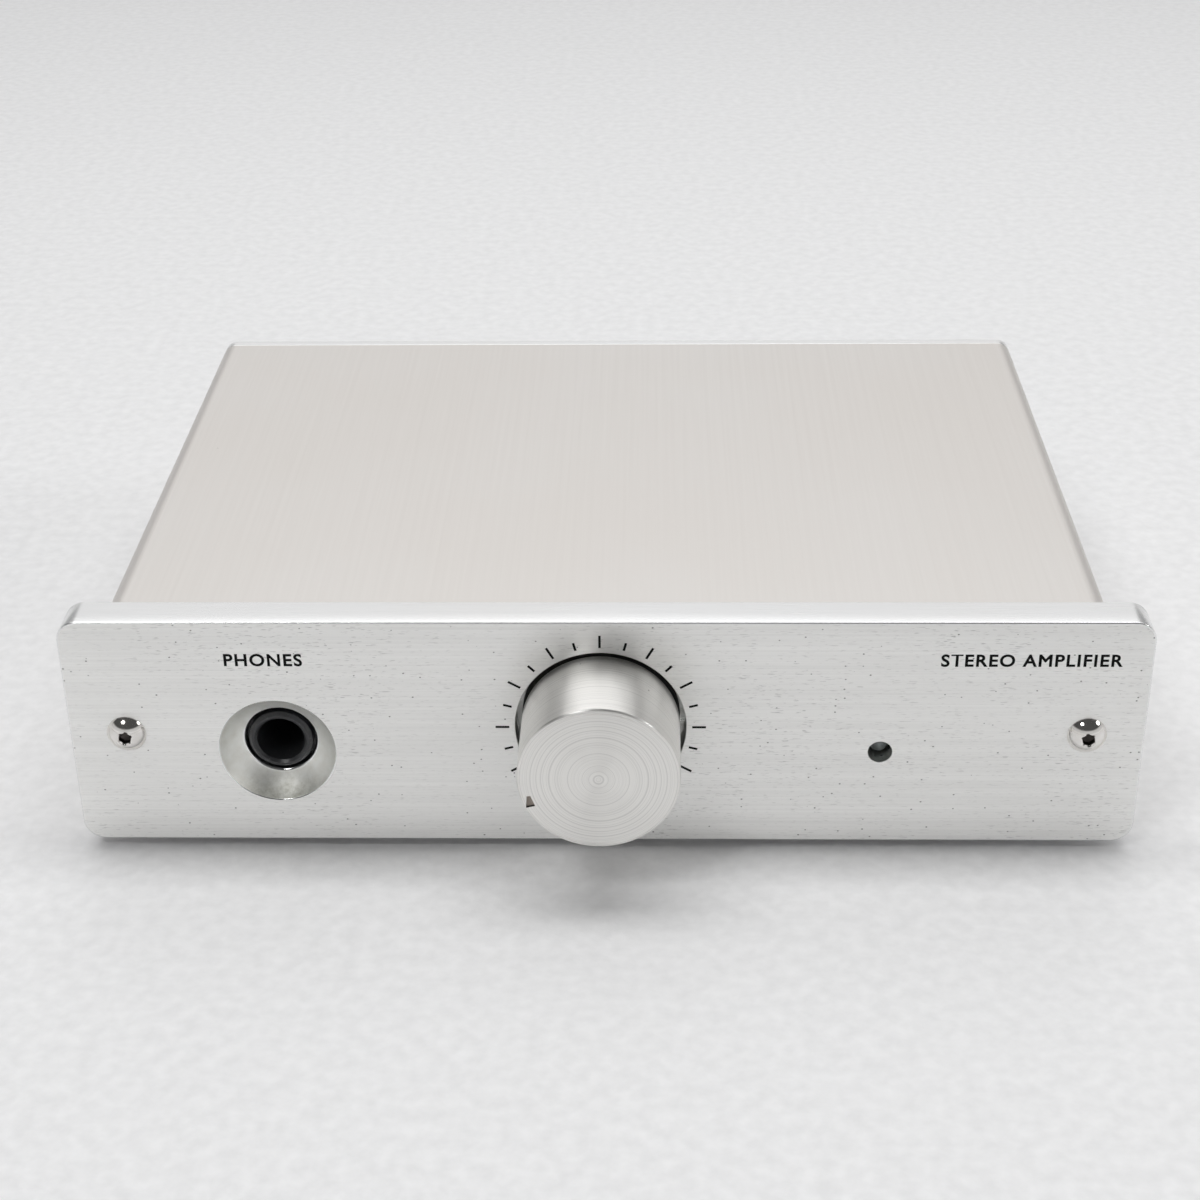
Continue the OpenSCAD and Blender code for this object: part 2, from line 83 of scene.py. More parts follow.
inlet_low, inlet_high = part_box("dc_inlet")
INLET_X = (inlet_low[0] + inlet_high[0]) / 2

bushing_low, bushing_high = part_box("switch_bushing")
SWITCH_X = (bushing_low[0] + bushing_high[0]) / 2

SCREW_X = 67.9 * MM
SCREW_SIDES = (-1, 1)

# ---- main sizes ----

DISH_R = 8.4 * MM
JACK_HOLE_R = 5.02 * MM
SCREW_HOLE_R = 1.6 * MM
KNOB_POCKET_R = 12.05 * MM
KNOB_POCKET_DEPTH = 4.5 * MM
WORD_BASE = MID_Z + 11.2 * MM
WORD_RIGHT_END = 71.6 * MM

# Edges bent by more than this many degrees stay sharp.
SHARP_ANGLE = 30

# Wide holes, whose radius is over the first size, are rounder than small ones.
WIDE_HOLE_R = 4 * MM
WIDE_HOLE_SEGMENTS = 160
SMALL_HOLE_SEGMENTS = 64


# ---- mesh helpers ----

def arc(count, start, end):
    """Evenly spaced angles in degrees, ends included, as radians."""
    return [math.radians(start + (end - start) * i / count) for i in range(count + 1)]


def rounded_outline(width, height, radius, steps=16):
    """Points of a rectangle with round corners, centred, anticlockwise."""
    points = []
    corners = ((1, 1, 0), (-1, 1, 90), (-1, -1, 180), (1, -1, 270))
    for sx, sz, start in corners:
        cx, cz = sx * (width / 2 - radius), sz * (height / 2 - radius)
        for angle in arc(steps, start, start + 90):
            points.append((cx + radius * math.cos(angle), cz + radius * math.sin(angle)))
    return points


def add_loop(bm, points, y):
    return [bm.verts.new((x, y, z)) for x, z in points]


def bridge(bm, first, second, finish=0):
    """Quads between two closed loops of the same length, in the given one of the piece's materials."""
    count = len(first)
    for i in range(count):
        j = (i + 1) % count
        bm.faces.new((first[i], first[j], second[j], second[i])).material_index = finish


def once_round(count):
    """Evenly spaced angles once round, as radians."""
    return arc(count, 0, 360)[:-1]


def circle_points(x, z, radius, count):
    return [(x + radius * math.cos(a), z + radius * math.sin(a)) for a in once_round(count)]


def ring(bm, place, reach, distance, count):
    """A closed loop of vertices round the place's own Z axis. reach gives the radius at an angle."""
    points = [(reach(a) * math.cos(a), reach(a) * math.sin(a), distance) for a in once_round(count)]
    return [bm.verts.new(place @ Vector(point)) for point in points]


def hexagon(flat):
    """Gives the radius of a hexagon at an angle. flat is its radius at the middle of a side."""
    corner = math.radians(60)
    return lambda a: flat / math.cos((a + corner / 2) % corner - corner / 2)


def mesh_object(name, bm):
    """Makes an object of the mesh and puts it into the scene."""
    mesh = bpy.data.meshes.new(name)
    bm.to_mesh(mesh)
    bm.free()
    made = bpy.data.objects.new(name, mesh)
    bpy.context.scene.collection.objects.link(made)
    return made


def loop_edges(bm, loop):
    count = len(loop)
    return [bm.edges.get((loop[i], loop[(i + 1) % count])) for i in range(count)]


def milled_plate(bm, outline, front, back, edge, holes):
    """A plate across Y with softened edges and round holes. The rim takes material 1.

    A hole is (x, z, finish, profile). Its profile runs from front to back as (radius, depth) pairs.
    A third value in a pair changes the finish from there on.
    """
    width = max(x for x, z in outline) * 2
    height = max(z for x, z in outline) * 2
    steps = 4
    rings = []
    for a in arc(steps, 0, 90):
        rings.append((edge * (1 - math.sin(a)), front + edge * (1 - math.cos(a))))
    for a in arc(steps, 90, 0):
        rings.append((edge * (1 - math.sin(a)), back - edge * (1 - math.cos(a))))
    loops = []
    for inset, y in rings:
        shrunk = [(x * (1 - 2 * inset / width), MID_Z + z * (1 - 2 * inset / height)) for x, z in outline]
        loops.append(add_loop(bm, shrunk, y))
    for first, second in zip(loops, loops[1:]):
        bridge(bm, first, second, finish=1)
    front_edges = loop_edges(bm, loops[0])
    back_edges = loop_edges(bm, loops[-1])
    for x, z, finish, profile in holes:
        count = WIDE_HOLE_SEGMENTS if profile[0][0] > WIDE_HOLE_R else SMALL_HOLE_SEGMENTS
        walls = [add_loop(bm, circle_points(x, z, point[0], count), front + point[1]) for point in profile]
        for i in range(len(walls) - 1):
            finish = profile[i][2] if len(profile[i]) > 2 else finish
            bridge(bm, walls[i], walls[i + 1], finish)
        front_edges += loop_edges(bm, walls[0])
        back_edges += loop_edges(bm, walls[-1])
    bmesh.ops.triangle_fill(bm, use_beauty=True, use_dissolve=False, edges=front_edges, normal=(0, -1, 0))
    bmesh.ops.triangle_fill(bm, use_beauty=True, use_dissolve=False, edges=back_edges, normal=(0, 1, 0))


def turned(bm, profile, place, segments=96, closed=False):
    """Turns a profile of (radius, distance) pairs about the place's own Z axis."""
    loops = []
    for radius, distance in profile:
        if radius < 1e-9:
            loops.append([bm.verts.new(place @ Vector((0, 0, distance)))])
        else:
            loops.append(ring(bm, place, lambda a: radius, distance, segments))
    pairs = list(zip(loops, loops[1:]))
    if closed:
        pairs.append((loops[-1], loops[0]))
    for first, second in pairs:
        if len(first) == 1 and len(second) == 1:
            continue
        for i in range(segments):
            j = (i + 1) % segments
            if len(first) == 1:
                bm.faces.new((first[0], second[j], second[i]))
            elif len(second) == 1:
                bm.faces.new((first[i], first[j], second[0]))
            else:
                bm.faces.new((first[i], first[j], second[j], second[i]))


def forward_axis(x, y, z):
    """Places a turned piece with its distances running from y towards the viewer of the front."""
    return Matrix.Translation((x, y, z)) @ Matrix.Rotation(math.radians(90), 4, "X")


def rearward_axis(x, y, z):
    """Places a turned piece with its distances running from y towards the back."""
    return Matrix.Translation((x, y, z)) @ Matrix.Rotation(math.radians(-90), 4, "X")


def finish_piece(name, bm, materials, body, replaced=(), origin=(0, 0, 0)):
    """Makes the object, gives it its materials, shades it smooth up to the sharp angle and ties it to its
    body.
    """
    bmesh.ops.recalc_face_normals(bm, faces=bm.faces)
    bmesh.ops.translate(bm, vec=-Vector(origin), verts=bm.verts)
    piece = mesh_object(name, bm)
    piece.location = origin
    for material in materials:
        piece.data.materials.append(material)
    for polygon in piece.data.polygons:
        polygon.use_smooth = True
    piece.data.set_sharp_from_angle(angle=math.radians(SHARP_ANGLE))
    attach(piece, body)
    if replaced:
        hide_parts(*replaced)
    return piece


def cut_away(piece, cutter):
    """Subtracts the cutter's shape from a piece and removes the cutter."""
    modifier = piece.modifiers.new("cut", "BOOLEAN")
    modifier.operation = "DIFFERENCE"
    modifier.solver = "EXACT"
    modifier.object = cutter
    depsgraph = bpy.context.evaluated_depsgraph_get()
    mesh = bpy.data.meshes.new_from_object(piece.evaluated_get(depsgraph))
    piece.modifiers.remove(modifier)
    piece.data = mesh
    bpy.data.objects.remove(cutter)
    mesh.set_sharp_from_angle(angle=math.radians(SHARP_ANGLE))


def drill(place, radius, start, end, segments):
    """A plain cylinder along the place's own Z axis, for cutting a hole into a piece."""
    bm = bmesh.new()
    turned(bm, [(0, start), (radius, start), (radius, end), (0, end)], place, segments)
    bmesh.ops.recalc_face_normals(bm, faces=bm.faces)
    return mesh_object("drill", bm)


# ---- materials ----

def empty_material(name):
    """A material with an empty node tree, given with its nodes and links."""
    material = bpy.data.materials.new(name)
    material.use_nodes = True
    nodes = material.node_tree.nodes
    nodes.clear()
    return material, nodes, material.node_tree.links


def shade(tint, amount):
    """The tint made darker or lighter, as a colour ramp takes it."""
    return (tint[0] * amount, tint[1] * amount, tint[2] * amount, 1)


def lay_out(columns):
    """Sets the nodes out in the editor, column by column from the left."""
    column_width = 260
    row_height = 280
    for column, members in enumerate(columns):
        for row, node in enumerate(members):
            node.location = (column * column_width, -row * row_height)


def brushed_aluminium(name, tint, roughness, scratch_strength, pit_strength):
    """Aluminium brushed from side to side: fine streaks, a few dark hairlines and tiny pits."""
    material, nodes, links = empty_material(name)

    coordinates = nodes.new("ShaderNodeTexCoord")
    coordinates.label = "Place on the plate"

    streak_stretch = nodes.new("ShaderNodeMapping")
    streak_stretch.label = "Stretch the grain sideways"
    streak_stretch.inputs["Scale"].default_value = (16, 300, 3600)
    fine_streaks = nodes.new("ShaderNodeTexNoise")
    fine_streaks.label = "Fine brushing streaks"
    fine_streaks.inputs["Scale"].default_value = 1.0
    fine_streaks.inputs["Detail"].default_value = 5.0
    fine_streaks.inputs["Roughness"].default_value = 0.65
    broad_stretch = nodes.new("ShaderNodeMapping")
    broad_stretch.label = "Stretch the broad bands"
    broad_stretch.inputs["Scale"].default_value = (9, 60, 700)
    broad_bands = nodes.new("ShaderNodeTexNoise")
    broad_bands.label = "Broad bands of the belt"
    broad_bands.inputs["Scale"].default_value = 1.0
    broad_bands.inputs["Detail"].default_value = 3.0
    streak_sum = nodes.new("ShaderNodeMath")
    streak_sum.label = "Streaks and bands together"
    streak_sum.operation = "MULTIPLY_ADD"
    streak_sum.inputs[1].default_value = 0.15
    streak_colour = nodes.new("ShaderNodeValToRGB")
    streak_colour.label = "Light and dark of the grain"
    streak_colour.color_ramp.elements[0].position = 0.37
    streak_colour.color_ramp.elements[0].color = shade(tint, 0.95)
    streak_colour.color_ramp.elements[1].position = 0.78
    streak_colour.color_ramp.elements[1].color = shade(tint, 1.04)

    hair_stretch = nodes.new("ShaderNodeMapping")
    hair_stretch.label = "Stretch the hairlines"
    hair_stretch.inputs["Scale"].default_value = (800, 400, 8500)
    hair_noise = nodes.new("ShaderNodeTexNoise")
    hair_noise.label = "Hairline scratches"
    hair_noise.inputs["Scale"].default_value = 1.0
    hair_noise.inputs["Detail"].default_value = 1.5
    hair_cut = nodes.new("ShaderNodeValToRGB")
    hair_cut.label = "Keep only the deepest hairlines"
    hair_cut.color_ramp.elements[0].position = 0.645
    hair_cut.color_ramp.elements[0].color = (0, 0, 0, 1)
    hair_cut.color_ramp.elements[1].position = 0.69
    hair_cut.color_ramp.elements[1].color = (1, 1, 1, 1)
    patch_noise = nodes.new("ShaderNodeTexNoise")
    patch_noise.label = "Where the plate is more scratched"
    patch_noise.inputs["Scale"].default_value = 34.0
    patch_noise.inputs["Detail"].default_value = 2.0
    patch_cut = nodes.new("ShaderNodeValToRGB")
    patch_cut.label = "Scratched patches"
    patch_cut.color_ramp.elements[0].position = 0.42
    patch_cut.color_ramp.elements[0].color = (0.35, 0.35, 0.35, 1)
    patch_cut.color_ramp.elements[1].position = 0.62
    patch_cut.color_ramp.elements[1].color = (1, 1, 1, 1)
    hair_amount = nodes.new("ShaderNodeMath")
    hair_amount.label = "Hairlines within the patches"
    hair_amount.operation = "MULTIPLY"

    pit_stretch = nodes.new("ShaderNodeMapping")
    pit_stretch.label = "Draw the pits out a little"
    pit_stretch.inputs["Scale"].default_value = (860, 420, 1250)
    pit_cells = nodes.new("ShaderNodeTexVoronoi")
    pit_cells.label = "Tiny pits"
    pit_cells.inputs["Scale"].default_value = 1.0
    pit_cut = nodes.new("ShaderNodeValToRGB")
    pit_cut.label = "Size of a pit"
    pit_cut.color_ramp.elements[0].position = 0.08
    pit_cut.color_ramp.elements[0].color = (1, 1, 1, 1)
    pit_cut.color_ramp.elements[1].position = 0.15
    pit_cut.color_ramp.elements[1].color = (0, 0, 0, 1)
    pit_pick = nodes.new("ShaderNodeMath")
    pit_pick.label = "Only some of the pits"
    pit_pick.operation = "GREATER_THAN"
    pit_pick.inputs[1].default_value = 0.82
    pit_split = nodes.new("ShaderNodeSeparateColor")
    pit_split.label = "One number for each pit"
    pit_amount = nodes.new("ShaderNodeMath")
    pit_amount.label = "Pits"
    pit_amount.operation = "MULTIPLY"

    hair_tint = nodes.new("ShaderNodeMix")
    hair_tint.label = "Darken the hairlines"
    hair_tint.data_type = "RGBA"
    hair_tint.inputs["B"].default_value = (0.16, 0.155, 0.15, 1)
    hair_level = nodes.new("ShaderNodeMath")
    hair_level.label = "How dark the hairlines are"
    hair_level.operation = "MULTIPLY"
    hair_level.inputs[1].default_value = scratch_strength
    pit_tint = nodes.new("ShaderNodeMix")
    pit_tint.label = "Darken the pits"
    pit_tint.data_type = "RGBA"
    pit_tint.inputs["B"].default_value = (0.1, 0.095, 0.09, 1)
    pit_level = nodes.new("ShaderNodeMath")
    pit_level.label = "How dark the pits are"
    pit_level.operation = "MULTIPLY"
    pit_level.inputs[1].default_value = pit_strength

    grain_shine = nodes.new("ShaderNodeMapRange")
    grain_shine.label = "The grain changes the gloss"
    grain_shine.inputs["From Min"].default_value = 0.37
    grain_shine.inputs["From Max"].default_value = 0.78
    grain_shine.inputs["To Min"].default_value = roughness + 0.05
    grain_shine.inputs["To Max"].default_value = roughness - 0.05
    wear_sum = nodes.new("ShaderNodeMath")
    wear_sum.label = "Hairlines and pits lie below the surface"
    wear_sum.operation = "ADD"
    relief = nodes.new("ShaderNodeMath")
    relief.label = "Relief of the surface"
    relief.operation = "SUBTRACT"
    bump = nodes.new("ShaderNodeBump")
    bump.label = "Brushed relief"
    bump.inputs["Strength"].default_value = 0.16
    bump.inputs["Distance"].default_value = 0.02 * MM
    tangent = nodes.new("ShaderNodeTangent")
    tangent.label = "Grain runs sideways"
    tangent.direction_type = "RADIAL"
    tangent.axis = "Z"
    shader = nodes.new("ShaderNodeBsdfPrincipled")
    shader.label = "Brushed aluminium"
    shader.inputs["Metallic"].default_value = 1.0
    shader.inputs["Anisotropic"].default_value = 0.6
    shader.inputs["Anisotropic Rotation"].default_value = 0.25
    output = nodes.new("ShaderNodeOutputMaterial")
    output.label = "Surface"

    links.new(coordinates.outputs["Object"], streak_stretch.inputs["Vector"])
    links.new(streak_stretch.outputs["Vector"], fine_streaks.inputs["Vector"])
    links.new(coordinates.outputs["Object"], broad_stretch.inputs["Vector"])
    links.new(broad_stretch.outputs["Vector"], broad_bands.inputs["Vector"])
    links.new(broad_bands.outputs["Fac"], streak_sum.inputs[0])
    links.new(fine_streaks.outputs["Fac"], streak_sum.inputs[2])
    links.new(streak_sum.outputs["Value"], streak_colour.inputs["Fac"])
    links.new(coordinates.outputs["Object"], hair_stretch.inputs["Vector"])
    links.new(hair_stretch.outputs["Vector"], hair_noise.inputs["Vector"])
    links.new(hair_noise.outputs["Fac"], hair_cut.inputs["Fac"])
    links.new(coordinates.outputs["Object"], patch_noise.inputs["Vector"])
    links.new(patch_noise.outputs["Fac"], patch_cut.inputs["Fac"])
    links.new(hair_cut.outputs["Color"], hair_amount.inputs[0])
    links.new(patch_cut.outputs["Color"], hair_amount.inputs[1])
    links.new(coordinates.outputs["Object"], pit_stretch.inputs["Vector"])
    links.new(pit_stretch.outputs["Vector"], pit_cells.inputs["Vector"])
    links.new(pit_cells.outputs["Distance"], pit_cut.inputs["Fac"])
    links.new(pit_cells.outputs["Color"], pit_split.inputs["Color"])
    links.new(pit_split.outputs["Red"], pit_pick.inputs[0])
    links.new(pit_cut.outputs["Color"], pit_amount.inputs[0])
    links.new(pit_pick.outputs["Value"], pit_amount.inputs[1])
    links.new(hair_amount.outputs["Value"], hair_level.inputs[0])
    links.new(hair_level.outputs["Value"], hair_tint.inputs["Factor"])
    links.new(streak_colour.outputs["Color"], hair_tint.inputs["A"])
    links.new(pit_amount.outputs["Value"], pit_level.inputs[0])
    links.new(pit_level.outputs["Value"], pit_tint.inputs["Factor"])
    links.new(hair_tint.outputs["Result"], pit_tint.inputs["A"])
    links.new(pit_tint.outputs["Result"], shader.inputs["Base Color"])
    links.new(streak_sum.outputs["Value"], grain_shine.inputs["Value"])
    links.new(grain_shine.outputs["Result"], shader.inputs["Roughness"])
    links.new(hair_amount.outputs["Value"], wear_sum.inputs[0])
    links.new(pit_amount.outputs["Value"], wear_sum.inputs[1])
    links.new(streak_sum.outputs["Value"], relief.inputs[0])
    links.new(wear_sum.outputs["Value"], relief.inputs[1])
    links.new(relief.outputs["Value"], bump.inputs["Height"])
    links.new(bump.outputs["Normal"], shader.inputs["Normal"])
    links.new(tangent.outputs["Tangent"], shader.inputs["Tangent"])
    links.new(shader.outputs["BSDF"], output.inputs["Surface"])

    grain_frame = nodes.new("NodeFrame")
    grain_frame.label = "Brushed grain"
    for node in (streak_stretch, fine_streaks, broad_stretch, broad_bands, streak_sum, streak_colour):
        node.parent = grain_frame
    hair_frame = nodes.new("NodeFrame")
    hair_frame.label = "Hairline scratches"
    for node in (hair_stretch, hair_noise, hair_cut, hair_amount, hair_level, hair_tint,
                 patch_noise, patch_cut):
        node.parent = hair_frame
    pit_frame = nodes.new("NodeFrame")
    pit_frame.label = "Pits"
    for node in (pit_stretch, pit_cells, pit_cut, pit_split, pit_pick, pit_amount, pit_level, pit_tint):
        node.parent = pit_frame
    relief_frame = nodes.new("NodeFrame")
    relief_frame.label = "Gloss and relief"
    for node in (grain_shine, wear_sum, relief, bump, tangent):
        node.parent = relief_frame
    columns = (
        (coordinates,),
        (streak_stretch, broad_stretch, hair_stretch, patch_noise, pit_stretch),
        (fine_streaks, broad_bands, hair_noise, patch_cut, pit_cells),
        (streak_sum, hair_cut, pit_cut, pit_split),
        (streak_colour, hair_amount, pit_pick, pit_amount),
        (hair_level, hair_tint, pit_level, pit_tint),
        (grain_shine, wear_sum, relief, bump, tangent),
        (shader,),
        (output,),
    )
    lay_out(columns)
    return material


def drawn_aluminium(name, tint, roughness, grain_scale, grain_axis, contrast, line_relief):
    """Satin aluminium with faint lines along one direction, such as a drawn case or a sanded edge."""
    material, nodes, links = empty_material(name)

    coordinates = nodes.new("ShaderNodeTexCoord")
    coordinates.label = "Place on the piece"
    line_stretch = nodes.new("ShaderNodeMapping")
    line_stretch.label = "Stretch the lines along the draw"
    line_stretch.inputs["Scale"].default_value = grain_scale
    lines = nodes.new("ShaderNodeTexNoise")
    lines.label = "Faint lines of the draw"
    lines.inputs["Scale"].default_value = 1.0
    lines.inputs["Detail"].default_value = 4.0
    line_colour = nodes.new("ShaderNodeValToRGB")
    line_colour.label = "Light and dark of the lines"
    line_colour.color_ramp.elements[0].position = 0.3
    line_colour.color_ramp.elements[0].color = shade(tint, 1 - contrast)
    line_colour.color_ramp.elements[1].position = 0.7
    line_colour.color_ramp.elements[1].color = shade(tint, 1 + contrast)
    cloud = nodes.new("ShaderNodeTexNoise")
    cloud.label = "Slow change of tone"
    cloud.inputs["Scale"].default_value = 22.0
    cloud.inputs["Detail"].default_value = 2.0
    cloud_colour = nodes.new("ShaderNodeValToRGB")
    cloud_colour.label = "Warm and cool patches"
    cloud_colour.color_ramp.elements[0].position = 0.3
    cloud_colour.color_ramp.elements[0].color = (0.985, 0.975, 0.965, 1)
    cloud_colour.color_ramp.elements[1].position = 0.7
    cloud_colour.color_ramp.elements[1].color = (1, 1, 1, 1)
    toned = nodes.new("ShaderNodeMix")
    toned.label = "Lines over the slow tone"
    toned.data_type = "RGBA"
    toned.blend_type = "MULTIPLY"
    toned.inputs["Factor"].default_value = 1.0
    speck_cells = nodes.new("ShaderNodeTexVoronoi")
    speck_cells.label = "Specks of dirt"
    speck_cells.inputs["Scale"].default_value = 140.0
    speck_cut = nodes.new("ShaderNodeMath")
    speck_cut.label = "Size of a speck"
    speck_cut.operation = "LESS_THAN"
    speck_cut.inputs[1].default_value = 0.02
    speck_split = nodes.new("ShaderNodeSeparateColor")
    speck_split.label = "One number for each speck"
    speck_pick = nodes.new("ShaderNodeMath")
    speck_pick.label = "Very few specks"
    speck_pick.operation = "GREATER_THAN"
    speck_pick.inputs[1].default_value = 0.9
    specks = nodes.new("ShaderNodeMath")
    specks.label = "Specks"
    specks.operation = "MULTIPLY"
    speck_tint = nodes.new("ShaderNodeMix")
    speck_tint.label = "Darken the specks"
    speck_tint.data_type = "RGBA"
    speck_tint.inputs["B"].default_value = (0.18, 0.17, 0.16, 1)
    shine = nodes.new("ShaderNodeMapRange")
    shine.label = "The lines change the gloss"
    shine.inputs["From Min"].default_value = 0.3
    shine.inputs["From Max"].default_value = 0.7
    shine.inputs["To Min"].default_value = roughness + 0.04
    shine.inputs["To Max"].default_value = roughness - 0.04
    bump = nodes.new("ShaderNodeBump")
    bump.label = "Relief of the lines"
    bump.inputs["Strength"].default_value = line_relief
    bump.inputs["Distance"].default_value = 0.02 * MM
    tangent = nodes.new("ShaderNodeTangent")
    tangent.label = "Direction of the lines"
    tangent.direction_type = "RADIAL"
    tangent.axis = grain_axis
    shader = nodes.new("ShaderNodeBsdfPrincipled")
    shader.label = "Satin aluminium"
    shader.inputs["Metallic"].default_value = 1.0
    shader.inputs["Anisotropic"].default_value = 0.3
    shader.inputs["Anisotropic Rotation"].default_value = 0.25
    output = nodes.new("ShaderNodeOutputMaterial")
    output.label = "Surface"

    links.new(coordinates.outputs["Object"], line_stretch.inputs["Vector"])
    links.new(line_stretch.outputs["Vector"], lines.inputs["Vector"])
    links.new(lines.outputs["Fac"], line_colour.inputs["Fac"])
    links.new(coordinates.outputs["Object"], cloud.inputs["Vector"])
    links.new(cloud.outputs["Fac"], cloud_colour.inputs["Fac"])
    links.new(line_colour.outputs["Color"], toned.inputs["A"])
    links.new(cloud_colour.outputs["Color"], toned.inputs["B"])
    links.new(coordinates.outputs["Object"], speck_cells.inputs["Vector"])
    links.new(speck_cells.outputs["Distance"], speck_cut.inputs[0])
    links.new(speck_cells.outputs["Color"], speck_split.inputs["Color"])
    links.new(speck_split.outputs["Red"], speck_pick.inputs[0])
    links.new(speck_cut.outputs["Value"], specks.inputs[0])
    links.new(speck_pick.outputs["Value"], specks.inputs[1])
    links.new(specks.outputs["Value"], speck_tint.inputs["Factor"])
    links.new(toned.outputs["Result"], speck_tint.inputs["A"])
    links.new(speck_tint.outputs["Result"], shader.inputs["Base Color"])
    links.new(lines.outputs["Fac"], shine.inputs["Value"])
    links.new(shine.outputs["Result"], shader.inputs["Roughness"])
    links.new(lines.outputs["Fac"], bump.inputs["Height"])
    links.new(bump.outputs["Normal"], shader.inputs["Normal"])
    links.new(tangent.outputs["Tangent"], shader.inputs["Tangent"])
    links.new(shader.outputs["BSDF"], output.inputs["Surface"])

    line_frame = nodes.new("NodeFrame")
    line_frame.label = "Lines of the draw"
    for node in (line_stretch, lines, line_colour, shine, bump, tangent):
        node.parent = line_frame
    tone_frame = nodes.new("NodeFrame")
    tone_frame.label = "Slow tone"
    for node in (cloud, cloud_colour, toned):
        node.parent = tone_frame
    speck_frame = nodes.new("NodeFrame")
    speck_frame.label = "Specks"
    for node in (speck_cells, speck_cut, speck_split, speck_pick, specks, speck_tint):
        node.parent = speck_frame
    columns = (
        (coordinates,), (line_stretch, cloud, speck_cells), (lines, cloud_colour, speck_cut, speck_split),
        (line_colour, toned, speck_pick, specks), (speck_tint, shine, bump, tangent), (shader,), (output,)
    )
    lay_out(columns)
    return material


